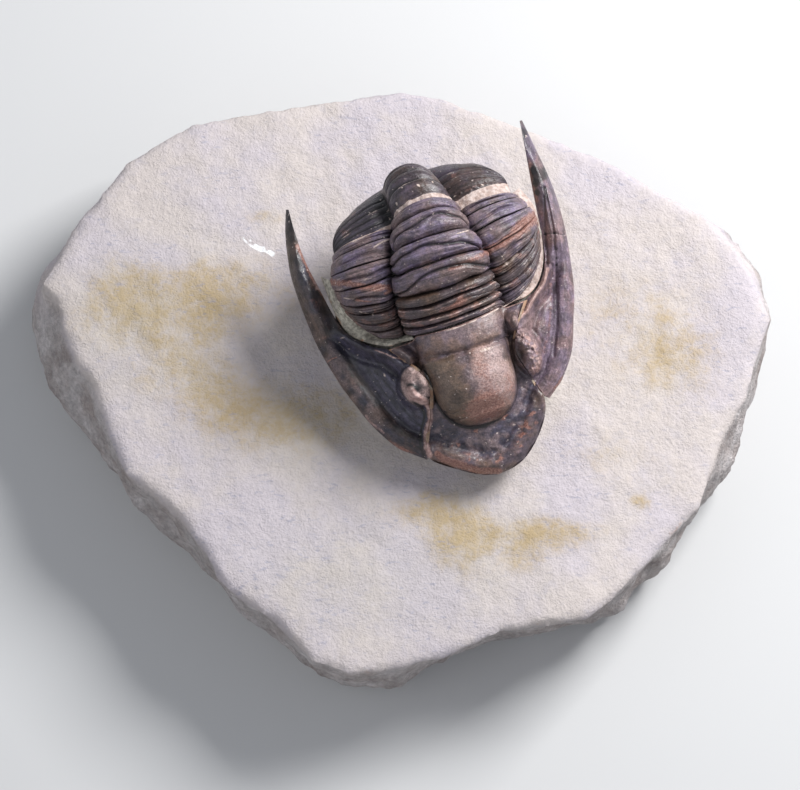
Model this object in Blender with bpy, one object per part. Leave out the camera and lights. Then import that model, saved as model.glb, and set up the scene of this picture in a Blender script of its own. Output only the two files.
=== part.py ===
"""A Lepidoproetus trilobite fossil, standing in high relief on its limestone slab.

The slab lies flat on Z = 0. The animal has its own frame: V to its right side, U to its
tail and W up from the plane of its head brim, with the origin behind the head.
"""

from math import atan2, cos, exp, pi, radians, sin, sqrt

import bmesh
import bpy
import numpy as np
from mathutils import Matrix, Vector, noise

MM = 0.001

# Slab, seen from above, in mm: the corners of its upper face and those of its widest outline
# lower down, both anticlockwise from the left
SLAB_THICKNESS = 13.0
BELLY_LEVEL = 6.5
SLAB_CORNERS = [
    (-34.2, 10.9), (-32.6, 9.1), (-32.2, 6.4), (-30.9, 3.3), (-29.3, 1.1), (-27.8, -3.1), (-26.7, -6.0),
    (-25.7, -7.9), (-23.6, -9.3), (-20.7, -12.1), (-18.2, -15.3), (-17.1, -17.8), (-15.2, -19.7), (-12.0, -21.6),
    (-9.9, -23.7), (-8.3, -25.6), (-4.6, -26.9), (-0.8, -26.4), (4.0, -25.3), (6.4, -24.2), (9.3, -22.8),
    (13.3, -22.3), (17.4, -21.7), (20.0, -19.5), (22.8, -16.6), (25.4, -13.5), (28.2, -10.8), (29.4, -7.3),
    (30.8, -3.4), (32.9, -0.1), (33.9, 3.8), (35.2, 7.4), (34.6, 9.6), (33.4, 12.5), (31.7, 15.1),
    (29.5, 17.7), (24.9, 20.3), (18.9, 24.0), (13.5, 26.1), (3.9, 29.7), (0.0, 30.4), (-3.7, 29.9),
    (-14.0, 28.3), (-19.9, 27.2), (-26.2, 23.4), (-30.9, 17.3),
]
SLAB_BELLY = [
    (-35.8, 11.1), (-35.7, 8.5), (-35.1, 5.9), (-33.8, 2.5), (-31.3, -1.1), (-26.8, -6.8), (-25.4, -9.3),
    (-23.2, -11.3), (-21.0, -13.2), (-17.7, -16.4), (-16.0, -18.8), (-13.3, -21.0), (-10.8, -22.9), (-7.8, -25.6),
    (-4.1, -26.8), (0.0, -26.7), (2.7, -24.8), (6.7, -23.2), (9.2, -22.0), (14.9, -21.2), (19.3, -20.1),
    (21.2, -19.3), (22.8, -17.0), (25.3, -15.4), (26.4, -13.1), (28.6, -9.4), (30.3, -7.6), (32.2, -5.1),
    (33.2, -0.7), (34.2, 1.6), (35.1, 6.2), (35.8, 9.0), (35.0, 13.4), (32.0, 18.0), (25.4, 21.2),
    (19.3, 24.8), (13.7, 27.1), (4.0, 30.6), (-0.2, 31.2), (-14.0, 29.2), (-20.4, 27.9), (-27.0, 23.8),
    (-31.9, 17.6), (-34.9, 13.6),
]
BASE_INSET = 1.9
BREAK_ROUGHNESS = 0.45
CENTRE_OF_SLAB = (0.12, 2.15)

# Where the animal stands on the slab
BODY_AT = (5.7, 5.1)
BODY_LIFT = 6.3
BODY_YAW = radians(19.3)
BODY_PITCH = radians(15.0)

# Head outline in (V, U): the brim and spine of each side, then the inner edge of each cheek
LEFT_BRIM = [
    (-7.15, -10.85), (-8.3, -9.9), (-9.4, -8.9), (-10.5, -7.1), (-11.75, -4.0), (-12.65, -1.0),
    (-13.3, 2.2), (-13.55, 5.4), (-13.55, 9.0), (-13.25, 11.2), (-12.7, 13.5), (-11.9, 15.6),
]
LEFT_INNER = [
    (-6.95, -10.5), (-6.95, -9.5), (-6.3, -8.2), (-5.55, -6.8), (-4.85, -4.4), (-5.9, -2.0),
    (-8.5, 0.5), (-10.65, 3.5), (-11.55, 8.4), (-11.8, 10.8), (-11.8, 13.2), (-11.65, 15.5),
]
RIGHT_BRIM = [
    (5.55, -9.2), (6.4, -8.6), (7.35, -7.85), (8.8, -6.05), (10.05, -3.2), (11.1, -0.4),
    (11.75, 2.6), (12.2, 5.2), (12.4, 8.2), (12.35, 10.6), (12.1, 13.0), (11.75, 16.2),
]
RIGHT_INNER = [
    (5.3, -8.9), (5.1, -8.0), (4.85, -7.0), (4.85, -5.8), (4.1, -4.3), (4.95, -2.2),
    (7.2, -0.1), (9.35, 2.6), (10.2, 7.6), (10.6, 10.4), (11.0, 13.0), (11.5, 16.2),
]
MIDDLE_LEFT = [
    (-1.3, -14.35), (-2.9, -13.8), (-4.7, -12.7), (-6.75, -11.0), (-6.65, -9.5), (-6.0, -8.2),
    (-5.25, -6.8), (-4.55, -4.4), (-4.8, -2.9), (-5.65, -1.7), (-6.7, -0.75),
]
MIDDLE_RIGHT = [
    (-0.2, -14.3), (1.5, -13.75), (3.3, -12.3), (4.65, -10.5), (5.0, -9.0), (4.75, -8.0),
    (4.5, -6.9), (3.8, -4.3), (4.0, -3.0), (4.7, -1.9), (5.9, -0.7),
]

HEAD_OUTLINE = LEFT_BRIM[::-1] + MIDDLE_LEFT[3::-1] + MIDDLE_RIGHT[:4] + RIGHT_BRIM

# Head relief in W; the crown line is (U, W) along the middle of the glabella
BRIM_HEIGHT = 0.85
BRIM_WIDTH = 2.0
CHEEK_RISE = 2.4
GLABELLA_CENTRE = (-0.55, -5.4)
GLABELLA_HALF = (4.05, 4.1)
GLABELLA_CROWN = [
    (-9.5, 2.6), (-8.4, 4.6), (-7.0, 5.8), (-5.4, 6.2), (-3.8, 6.0), (-2.6, 5.6), (-1.9, 5.2),
]
NECK_FURROW = -1.9
NECK_HALF = 4.45
NECK_CROWN = 5.5
EYES = [(-6.1, -4.1, 1.45, 1.8), (5.1, -4.5, 1.2, 2.1)]
EYE_HEIGHT = 2.1
REAR_BORDER_HEIGHT = 0.75
HEAD_THICKNESS = 0.9
SPINE_SWELL = 0.7

# Thorax: the middle line of the back as (U, W, tilt of the ring's plane in degrees), with one
# station at each ring edge, from the head to the tail
RING_EDGES = [
    (0.15, 5.1, 20.0), (0.75, 5.75, 28.0), (1.45, 6.45, 30.0), (2.55, 7.3, 27.0),
    (3.55, 7.9, 24.0), (6.1, 8.6, 8.0), (8.6, 8.4, -6.0), (10.85, 7.15, -19.0),
    (11.9, 6.05, -26.0),
]
AXIS_HALF = [4.5, 4.5, 4.5, 4.45, 4.4, 4.2, 3.65, 3.1, 2.9]
AXIS_SHIFT = [-0.55, -0.55, -0.5, -0.5, -0.4, -0.2, -0.15, 0.05, 0.15]
LEFT_REACH = [6.9, 7.6, 8.3, 8.9, 9.4, 9.9, 9.9, 9.5, 9.2]
RIGHT_REACH = [6.9, 7.6, 8.2, 8.7, 9.0, 9.3, 9.2, 8.6, 8.0]
TIP_DROP = [4.2, 4.8, 5.2, 5.5, 5.7, 5.9, 5.6, 5.0, 4.6]
AXIS_DROP = 2.6
AXIS_SHARE = 0.46
LEFT_BOW, RIGHT_BOW = 0.3, 0.8
SEGMENT_GAP = 0.15
SEGMENT_THICKNESS = 0.8
RING_SWELL = 0.42

# Pygidium: its margin as (V, U) from the left corner to the right one, on a plane that falls
# to the tail
TAIL_MARGIN = [
    (-8.9, 10.7), (-8.55, 11.5), (-7.9, 12.3), (-6.8, 13.0), (-5.6, 13.65), (-4.4, 14.1),
    (-2.9, 14.5), (-1.6, 14.9), (-0.2, 15.1), (1.2, 15.0), (2.4, 14.9), (3.9, 14.7), (5.0, 14.3),
    (6.1, 13.9), (7.0, 13.2), (7.7, 12.4), (8.3, 11.4),
]
TAIL_CORNER_HEIGHT = 1.6
TAIL_FALL = 0.75
TAIL_FIELD_SWELL = 0.9
TAIL_AXIS_SWELL = 1.05
TAIL_AXIS_SHARE = 0.2
TAIL_AXIS_END = 0.47
TAIL_THICKNESS = 0.8
TAIL_GAP = (0.3, 1.0)

# Stand of rock under the animal, as (V, U) at its top, clockwise from the front
STAND_OUTLINE = [
    (-0.7, -12.6), (-4.6, -11.2), (-8.2, -8.2), (-10.4, -4.6), (-11.6, -0.6), (-11.9, 3.0),
    (-11.0, 6.0), (-10.0, 8.2), (-9.0, 9.8), (-7.6, 11.6), (-5.6, 12.9), (-3.0, 13.7),
    (0.0, 14.1), (3.0, 13.7), (5.6, 12.9), (7.6, 11.6), (8.8, 9.8), (9.6, 8.0),
    (10.3, 5.6), (10.4, 2.8), (9.9, -0.6), (8.8, -4.2), (6.8, -7.4), (4.4, -9.6), (2.6, -11.6),
]
STAND_CENTRE = (-0.3, 2.0)
STAND_CLEARANCE = 0.4
STAND_SEARCH = 1.1
STAND_WAIST = [(0.12, 0.96), (0.5, 0.9), (0.88, 0.93)]


def smooth_step(edge0, edge1, x):
    """0 below the first edge, 1 above the second and a smooth ramp between them."""
    t = min(max((x - edge0) / (edge1 - edge0), 0.0), 1.0)
    return t * t * (3.0 - 2.0 * t)


def spline(points, t):
    """The point at t, from 0 to 1, on a smooth curve through the points."""
    last = len(points) - 1
    x = min(max(t, 0.0), 1.0) * last
    i = min(int(x), last - 1)
    f = x - i

    def at(k):
        return points[min(max(k, 0), last)]

    found = []
    for a, b, c, d in zip(at(i - 1), at(i), at(i + 1), at(i + 2)):
        found.append(
            0.5 * (2 * b + (c - a) * f + (2 * a - 5 * b + 4 * c - d) * f**2 + (3 * b - a - 3 * c + d) * f**3)
        )
    return tuple(found)


def between(values, x):
    """The value at the fractional index x of a list, by straight lines."""
    i = min(max(int(x), 0), len(values) - 2)
    return values[i] + (values[i + 1] - values[i]) * (x - i)


def loft(name, rings, material, collection, parent=None, sharp=50.0):
    """One closed solid through rings of equal length, both ends capped. Edges over the sharp
    angle in degrees stay crisp."""
    bm = bmesh.new()
    rows = [[bm.verts.new(Vector(p) * MM) for p in ring] for ring in rings]
    for row, after in zip(rows, rows[1:]):
        for i in range(len(row)):
            j = (i + 1) % len(row)
            bm.faces.new((row[i], row[j], after[j], after[i]))
    bm.faces.new(rows[0])
    bm.faces.new(rows[-1])
    bmesh.ops.triangulate(bm, faces=bm.faces[:])
    bmesh.ops.recalc_face_normals(bm, faces=bm.faces[:])
    mesh = bpy.data.meshes.new(name)
    bm.to_mesh(mesh)
    bm.free()
    mesh.polygons.foreach_set("use_smooth", [True] * len(mesh.polygons))
    mesh.set_sharp_from_angle(angle=radians(sharp))
    mesh.materials.append(material)
    obj = bpy.data.objects.new(name, mesh)
    obj.parent = parent
    collection.objects.link(obj)
    return obj


def plain_material(name, colour, roughness):
    """A Principled BSDF with one colour."""
    material = bpy.data.materials.new(name)
    material.use_nodes = True
    shader = material.node_tree.nodes["Principled BSDF"]
    shader.inputs["Base Color"].default_value = (*colour, 1.0)
    shader.inputs["Roughness"].default_value = roughness
    shader.inputs["Metallic"].default_value = 0.0
    material.diffuse_color = (*colour, 1.0)
    return material


def limestone():
    return plain_material("pale_limestone", (0.66, 0.60, 0.54), 0.85)


def shell(name, shade):
    """The dark calcite of the plates, a little browner or bluer from plate to plate."""
    return plain_material(name, (0.085 + 0.05 * shade, 0.07 + 0.02 * shade, 0.075), 0.42)


def distance_to(line, v, u):
    """How far a point lies from an open line of points."""
    best = 1e9
    for (v0, u0), (v1, u1) in zip(line, line[1:]):
        dv, du = v1 - v0, u1 - u0
        t = min(max(((v - v0) * dv + (u - u0) * du) / (dv * dv + du * du + 1e-9), 0.0), 1.0)
        best = min(best, sqrt((v - v0 - t * dv) ** 2 + (u - u0 - t * du) ** 2))
    return best


def hump(x, middle, width):
    """A smooth bump of height 1 at the middle."""
    return exp(-(((x - middle) / width) ** 2))


def brim_relief(edge):
    """The raised flat border of the head, with the furrow inside it."""
    return BRIM_HEIGHT * smooth_step(-0.3, 0.9, edge) - 0.35 * hump(edge, BRIM_WIDTH, 0.45)


def glabella_crown(u):
    for (u0, w0), (u1, w1) in zip(GLABELLA_CROWN, GLABELLA_CROWN[1:]):
        if u < u1:
            return w0 + (w1 - w0) * smooth_step(u0, u1, u) if u > u0 else w0
    return GLABELLA_CROWN[-1][1]


def glabella_height(v, u, base):
    """W of the swollen middle of the head, or 0 outside it."""
    across = abs((v - GLABELLA_CENTRE[0]) / GLABELLA_HALF[0]) ** 2.6
    ahead = abs(min(u - GLABELLA_CENTRE[1], 0.0) / GLABELLA_HALF[1]) ** 2.6
    inside = 1.0 - across - ahead
    if inside <= 0.0 or u > NECK_FURROW:
        return 0.0
    return base + (glabella_crown(u) - base) * inside**0.5


def neck_height(v, u, base):
    """W of the occipital ring, an arched band behind the glabella, or 0 outside it."""
    inside = 1.0 - (abs(v + 0.2) / NECK_HALF) ** 2.8
    if inside <= 0.0 or u < NECK_FURROW:
        return 0.0
    rounding = 0.3 * (1.0 - ((u + 0.9) / 1.0) ** 2)
    return base + (NECK_CROWN + rounding - base) * inside**0.5


def eye_relief(v, u):
    """The eyes as domes, each with a furrow round it."""
    found = 0.0
    for eye_v, eye_u, half_v, half_u in EYES:
        away = ((v - eye_v) / half_v) ** 2 + ((u - eye_u) / half_u) ** 2
        found += EYE_HEIGHT * max(1.0 - away, 0.0) ** 0.5 - 0.35 * hump(away, 1.4, 0.35)
    return found


def head_height(v, u):
    """W of the upper side of the head at a point."""
    edge = distance_to(HEAD_OUTLINE, v, u)
    rear = min(distance_to(LEFT_INNER[5:8], v, u), distance_to(RIGHT_INNER[5:8], v, u))
    droop = -0.7 * ((v + 0.7) / 13.0) ** 2
    on_head = 1.0 - smooth_step(1.0, 5.0, u)
    cheek = CHEEK_RISE * smooth_step(BRIM_WIDTH, 7.5, edge) * smooth_step(-13.5, -7.0, u)
    border = REAR_BORDER_HEIGHT * (hump(rear, 0.45, 0.45) - 0.6 * hump(rear, 1.45, 0.4))
    base = 0.2 + droop + brim_relief(edge) + (cheek + border + eye_relief(v, u)) * on_head
    furrow = 0.45 * hump(u, NECK_FURROW, 0.3) * (1.0 - smooth_step(3.6, 4.4, abs(v + 0.4)))
    return max(base, glabella_height(v, u, base), neck_height(v, u, base)) - furrow


def plate_ring(line, thickness, swell=0.0):
    """A closed section: the upper side along the line, then the under side back."""
    last = len(line) - 1
    top = []
    for k, (v, u) in enumerate(line):
        top.append((v, u, head_height(v, u) + swell * sin(pi * k / last)))
    under = []
    for k in range(last, -1, -2):
        v, u, w = top[k]
        depth = thickness * (0.5 if k in (0, last) else 1.0)
        under.append((v, u, w - depth - swell * sin(pi * k / last)))
    return top + under


def cheek(name, brim, inner, collection, parent):
    """A free cheek from the front of its suture to the tip of its spine."""
    head_steps, spine_steps, across = 19, 9, 10
    stations = [0.62 * i / head_steps for i in range(head_steps)]
    stations += [0.62 + 0.38 * i / spine_steps for i in range(spine_steps + 1)]
    rings = []
    for t in stations:
        outer_v, outer_u = spline(brim, t)
        inner_v, inner_u = spline(inner, t)
        line = []
        for k in range(across + 1):
            f = k / across
            line.append((outer_v + (inner_v - outer_v) * f, outer_u + (inner_u - outer_u) * f))
        spine = smooth_step(0.55, 0.72, t)
        taper = 1.0 - smooth_step(0.7, 1.0, t)
        thickness = HEAD_THICKNESS * (1.0 - spine) + spine * (0.5 + 0.6 * taper)
        rings.append(plate_ring(line, thickness, SPINE_SWELL * spine * taper))
    return loft(name, rings, shell(f"{name}_shell", 0.4), collection, parent)


def neck_edge(v):
    """How far the rear edge of the cranidium stands behind its corners, at V."""
    aside = abs(v + 0.2)
    inside = 1.0 - smooth_step(4.0, 4.7, aside)
    notch = (1.0 - inside) * (1.0 - smooth_step(4.7, 6.4, aside))
    return (0.7 + 0.025 * aside**2) * inside - 0.3 * notch


def cranidium(collection, parent):
    """The middle plate, from the front of the brim to the rear edge of the neck ring."""
    steps, across = 26, 18
    rings = []
    for i in range(steps + 1):
        t = i / steps
        left_v, left_u = spline(MIDDLE_LEFT, t)
        right_v, right_u = spline(MIDDLE_RIGHT, t)
        to_rear = smooth_step(0.78, 1.0, t)
        line = []
        for k in range(across + 1):
            f = k / across
            v = left_v + (right_v - left_v) * f
            line.append((v, left_u + (right_u - left_u) * f + to_rear * neck_edge(v)))
        rings.append(plate_ring(line, HEAD_THICKNESS))
    return loft("cranidium", rings, shell("cranidium_shell", 1.0), collection, parent)


def back_point(x, q, lift=0.0):
    """A point of the thorax: x counts ring edges from the head, q runs from -1 at the left
    tip over 0 on the middle line to 1 at the right tip, and lift stands out of the surface."""
    u, w, tilt = spline(RING_EDGES, x / (len(RING_EDGES) - 1))
    tilt = radians(tilt)
    axis = between(AXIS_HALF, x)
    reach = between(RIGHT_REACH if q > 0 else LEFT_REACH, x)
    if abs(q) < AXIS_SHARE:
        f = abs(q) / AXIS_SHARE
        across = axis * sin(f * pi / 2) ** 0.9
        drop = AXIS_DROP * (1.0 - cos(f * pi / 2) ** 0.9)
        lean = 1.2 * f * f
        bow = f * f
    else:
        f = (abs(q) - AXIS_SHARE) / (1.0 - AXIS_SHARE)
        across = axis + (reach - axis) * (0.35 * f + 0.65 * sin(f * pi / 2))
        drop = AXIS_DROP - 0.3 * smooth_step(0.0, 0.25, f)
        drop += (between(TIP_DROP, x) - AXIS_DROP + 0.3) * f**2.5
        lean = 1.1 * f
        bow = 1.0 - f
    across += lift * sin(lean)
    drop -= lift * cos(lean)
    side = 1.0 if q > 0 else -1.0
    u -= bow * (RIGHT_BOW if q > 0 else LEFT_BOW)
    shift = between(AXIS_SHIFT, x)
    return (shift + side * across, u + drop * sin(tilt), w - drop * cos(tilt))


def ring_swell(f, q):
    """How far a segment stands out at f, from its front edge to its rear edge."""
    rise = smooth_step(0.0, 0.45, f) * (1.0 - 0.45 * smooth_step(0.85, 1.0, f))
    if abs(q) < AXIS_SHARE:
        return RING_SWELL * rise
    return RING_SWELL * (0.9 * rise - 0.75 * hump(f, 0.5, 0.13))


def thorax_segment(number, collection, parent):
    """One segment: the section along the back is swept from the left tip to the right tip."""
    steps = 22
    start = number - 1
    (u0, w0, _), (u1, w1, _) = RING_EDGES[start : start + 2]
    gap = SEGMENT_GAP / sqrt((u1 - u0) ** 2 + (w1 - w0) ** 2)
    rings = []
    for i in range(steps + 1):
        q = -1.0 + 2.0 * i / steps
        thick = SEGMENT_THICKNESS * (1.0 - 0.45 * abs(q) ** 6)
        ring = []
        for f in (0.0, 0.22, 0.5, 0.78, 1.0):
            ring.append(back_point(start + gap + (1 - 2 * gap) * f, q, ring_swell(f, q)))
        for f in (1.0, 0.0):
            ring.append(back_point(start + gap + (1 - 2 * gap) * f, q, -thick))
        rings.append(ring)
    name = f"thorax_segment_{number:02d}"
    return loft(name, rings, shell(f"{name}_shell", 0.15 * (number % 3)), collection, parent)


def tail_edges(q):
    """The front edge and the margin of the pygidium at q, and which way its front face looks up."""
    tilt = radians(RING_EDGES[-1][2])
    gap = TAIL_GAP[0] + (TAIL_GAP[1] - TAIL_GAP[0]) * smooth_step(0.2, 0.6, q)
    front = Vector(back_point(len(RING_EDGES) - 1, q)) + gap * Vector((0.0, cos(tilt), sin(tilt)))
    side = 1.0 if q > 0 else -1.0
    if abs(q) < AXIS_SHARE:
        share = 0.5 * TAIL_AXIS_SHARE * q / AXIS_SHARE
    else:
        beyond = (abs(q) - AXIS_SHARE) / (1.0 - AXIS_SHARE)
        rest = (TAIL_AXIS_END if q < 0 else 1.0 - TAIL_AXIS_END) - 0.5 * TAIL_AXIS_SHARE
        share = side * (0.5 * TAIL_AXIS_SHARE + rest * beyond)
    v, u = spline(TAIL_MARGIN, TAIL_AXIS_END + share)
    margin = Vector((v, u, TAIL_CORNER_HEIGHT - TAIL_FALL * (u - TAIL_MARGIN[0][1])))
    return front, margin, Vector((0.0, -sin(tilt), cos(tilt)))


def tail_point(q, f, depth=0.0):
    """A point of the pygidium: q from -1 to 1 across it, f from its front edge to its margin, and
    depth under its upper side."""
    front, margin, face_up = tail_edges(q)
    run = margin - front
    up = Vector((0.0, -run.z, run.y)).normalized()
    swell = TAIL_FIELD_SWELL * sin(pi * f) * (1.0 - 0.5 * abs(q) ** 4)
    if abs(q) < AXIS_SHARE:
        swell += TAIL_AXIS_SWELL * cos(q / AXIS_SHARE * pi / 2) ** 0.6 * sin(pi * f**0.9) ** 0.8
    inward = face_up.lerp(up, smooth_step(0.0, 0.5, f))
    return front + run * f + up * swell - inward * depth


def pygidium(collection, parent):
    """The tail plate: the section from front edge to margin is swept from side to side."""
    steps = 28
    rings = []
    for i in range(steps + 1):
        q = -1.0 + 2.0 * i / steps
        thick = TAIL_THICKNESS * (1.0 - 0.5 * abs(q) ** 6)
        ring = [tail_point(q, f) for f in (0.0, 0.14, 0.3, 0.46, 0.62, 0.76, 0.88, 0.96, 1.0)]
        ring += [tail_point(q, f, thick) for f in (1.0, 0.5, 0.0)]
        rings.append(ring)
    return loft("pygidium", rings, shell("pygidium_shell", 0.4), collection, parent)


def slab_place():
    """Puts the middle of the slab on the origin; every measured point is moved by it."""
    x, y = CENTRE_OF_SLAB
    return Matrix.Translation(Vector((-x, -y, 0.0)) * MM)


def body_matrix():
    """From the animal's frame to the slab's, in metres."""
    x, y = BODY_AT
    at = Matrix.Translation(Vector((x, y, SLAB_THICKNESS + BODY_LIFT)) * MM)
    return at @ Matrix.Rotation(BODY_PITCH, 4, "X") @ Matrix.Rotation(BODY_YAW, 4, "Z")


def plate_cloud(plates):
    """Points all over the plates in the slab's frame, in mm: corners and middles of edges."""
    place = body_matrix()
    found = []
    for obj in plates:
        corners = [place @ v.co / MM for v in obj.data.vertices]
        found += corners
        found += [(corners[e.vertices[0]] + corners[e.vertices[1]]) / 2 for e in obj.data.edges]
    return np.array([tuple(p) for p in found])


def under_plates(x, y, cloud):
    """Z just under the plates at a point, or in a gap a little under those around it."""
    away = np.hypot(cloud[:, 0] - x, cloud[:, 1] - y)
    reach = max(STAND_SEARCH, away.min() + 0.3)
    return float(cloud[away < reach, 2].min()) - STAND_CLEARANCE


def settled(heights):
    """A grid of heights, rows closed into loops, smoothed without rising anywhere."""
    for pick in (np.min, np.mean):
        rows = np.concatenate([heights[:1], heights, heights[-1:]])
        turned = [np.roll(rows, k, axis=1) for k in (-1, 0, 1)]
        heights = pick([grid[j : j + len(heights)] for grid in turned for j in (0, 1, 2)], axis=0)
    return heights


def crossing(outline, centre, angle):
    """Where the ray from the centre at this angle leaves the closed outline."""
    dx, dy = cos(angle), sin(angle)
    best = 0.0
    for (x0, y0), (x1, y1) in zip(outline, outline[1:] + outline[:1]):
        ex, ey = x1 - x0, y1 - y0
        det = dx * ey - dy * ex
        if abs(det) < 1e-9:
            continue
        rx, ry = x0 - centre[0], y0 - centre[1]
        along = (rx * ey - ry * ex) / det
        share = (rx * dy - ry * dx) / det
        if along > 0 and -1e-6 <= share <= 1.000001:
            best = max(best, along)
    return (centre[0] + dx * best, centre[1] + dy * best)


def rough(x, y, z, size):
    """Smooth noise from -1 to 1 whose lumps are about this size in mm."""
    return noise.noise(Vector((x, y, z)) / size)


def slab_relief(x, y):
    """The gentle swell and dip of the slab's upper face."""
    return 0.5 * rough(x, y, 3.0, 17.0) + 0.16 * rough(x, y, 9.0, 5.0)


def inward(x, y, centre, inset):
    """The point moved toward the centre by so many mm."""
    dx, dy = centre[0] - x, centre[1] - y
    length = sqrt(dx * dx + dy * dy)
    return x + dx * inset / length, y + dy * inset / length


def broken(x, y, z, centre):
    """The point pushed in or out by the roughness of the broken side."""
    return (*inward(x, y, centre, BREAK_ROUGHNESS * rough(x, y, 2.0 * z, 4.0)), z)


def side_rings(angles, centre):
    """The outlines of the slab's broken side, from the flat base up to the upper edge."""
    edge = [crossing(SLAB_CORNERS, centre, a) for a in angles]
    belly = [crossing(SLAB_BELLY, centre, a) for a in angles]
    rings = [[(*inward(x, y, centre, BASE_INSET), 0.0) for x, y in belly]]
    for height, inset in ((1.4, 0.9), (BELLY_LEVEL * 0.6, 0.3), (BELLY_LEVEL, 0.0)):
        rings.append([broken(*inward(x, y, centre, inset), height, centre) for x, y in belly])
    for share in (0.5, 0.9):
        height = BELLY_LEVEL + (SLAB_THICKNESS - BELLY_LEVEL) * share
        ring = []
        for (x0, y0), (x1, y1) in zip(belly, edge):
            ring.append(broken(x0 + (x1 - x0) * share, y0 + (y1 - y0) * share, height, centre))
        rings.append(ring)
    return rings


def matrix(plates, collection):
    """Slab and stand in one stone, as closed outlines from the base up over the top."""
    cloud = plate_cloud(plates)
    place = body_matrix()
    stand = [tuple((place @ (Vector((v, u, 0.0)) * MM) / MM)[:2]) for v, u in STAND_OUTLINE]
    centre = tuple((place @ (Vector((*STAND_CENTRE, 0.0)) * MM) / MM)[:2])
    angles = sorted(atan2(y - centre[1], x - centre[0]) for x, y in SLAB_CORNERS)
    edge = [crossing(SLAB_CORNERS, centre, a) for a in angles]
    body = [crossing(stand, centre, a) for a in angles]
    rings = side_rings(angles, centre)
    for inset in (0.02, 0.1, 0.28, 0.48, 0.7, 0.9):
        ring = []
        for (x, y), (bx, by) in zip(edge, body):
            px, py = x + (bx - x) * inset, y + (by - y) * inset
            rim = 0.45 * exp(-inset * 25.0)
            ring.append((px, py, SLAB_THICKNESS + slab_relief(px, py) - rim))
        rings.append(ring)

    def toward_centre(x, y, reach):
        return centre[0] + (x - centre[0]) * reach, centre[1] + (y - centre[1]) * reach

    reaches = (0.95, 0.87, 0.76, 0.63, 0.49, 0.34, 0.19, 0.07)
    grid = [[toward_centre(x, y, reach) for x, y in body] for reach in reaches]
    heights = settled(np.array([[under_plates(x, y, cloud) for x, y in row] for row in grid]))
    for share, waist in STAND_WAIST:
        ring = []
        for (x, y), top in zip(body, heights[0]):
            px, py = toward_centre(x, y, waist + 0.05 * rough(x, y, share * 8.0, 4.0))
            foot = SLAB_THICKNESS + slab_relief(px, py)
            ring.append((px, py, foot + (top - foot) * share))
        rings.append(ring)
    for row, levels in zip(grid, heights):
        rings.append([(x, y, float(z)) for (x, y), z in zip(row, levels)])
    stone = loft("matrix", rings, limestone(), collection, sharp=24.0)
    stone.matrix_world = slab_place()
    return stone


def build():
    for obj in list(bpy.data.objects):
        bpy.data.objects.remove(obj, do_unlink=True)
    fossil = bpy.data.collections.new("trilobite_fossil")
    bpy.context.scene.collection.children.link(fossil)
    body = bpy.data.objects.new("body_frame", None)
    body.matrix_world = slab_place() @ body_matrix()
    fossil.objects.link(body)
    plates = [
        cranidium(fossil, body),
        cheek("left_free_cheek", LEFT_BRIM, LEFT_INNER, fossil, body),
        cheek("right_free_cheek", RIGHT_BRIM, RIGHT_INNER, fossil, body),
    ]
    plates += [thorax_segment(number, fossil, body) for number in range(1, len(RING_EDGES))]
    plates.append(pygidium(fossil, body))
    matrix(plates, fossil)


build()
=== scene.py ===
from math import radians

import bpy
import numpy as np
from mathutils import Matrix, Vector, noise
from mathutils.bvhtree import BVHTree


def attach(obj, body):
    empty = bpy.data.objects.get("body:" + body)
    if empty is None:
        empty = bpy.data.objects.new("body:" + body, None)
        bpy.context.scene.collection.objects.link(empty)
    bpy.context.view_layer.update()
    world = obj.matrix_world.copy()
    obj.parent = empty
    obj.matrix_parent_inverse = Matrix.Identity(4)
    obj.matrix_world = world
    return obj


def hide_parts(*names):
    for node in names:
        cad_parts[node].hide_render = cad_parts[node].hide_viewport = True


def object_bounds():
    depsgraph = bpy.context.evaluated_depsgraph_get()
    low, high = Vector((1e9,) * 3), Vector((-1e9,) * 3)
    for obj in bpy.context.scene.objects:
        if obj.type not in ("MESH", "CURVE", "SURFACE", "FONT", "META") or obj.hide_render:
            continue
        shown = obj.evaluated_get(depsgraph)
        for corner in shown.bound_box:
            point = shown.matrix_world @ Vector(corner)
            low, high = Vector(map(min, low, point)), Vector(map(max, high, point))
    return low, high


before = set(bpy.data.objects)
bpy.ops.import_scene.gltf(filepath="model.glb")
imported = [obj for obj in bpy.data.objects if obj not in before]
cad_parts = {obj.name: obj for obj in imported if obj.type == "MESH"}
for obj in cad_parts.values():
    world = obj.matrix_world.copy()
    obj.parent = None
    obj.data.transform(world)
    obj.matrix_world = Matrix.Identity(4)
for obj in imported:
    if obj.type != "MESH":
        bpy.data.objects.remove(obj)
cad_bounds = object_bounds()

# Middle head plate: the cranidium, with the swollen glabella, the neck ring behind it, the
# concave field in front and the middle of the brim. It is the animal's calcite shell, now dark
# and a little glossy, and is cemented to the rock.
MM = 0.001
# Sizes are in mm in the animal's own frame: V to its right, U to its tail, W up from the brim.
BODY_AT = np.array([5.58, 2.95, 19.3])
BODY_TURN = np.array(Matrix.Rotation(radians(15.0), 3, "X") @ Matrix.Rotation(radians(19.3), 3, "Z"))

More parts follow.
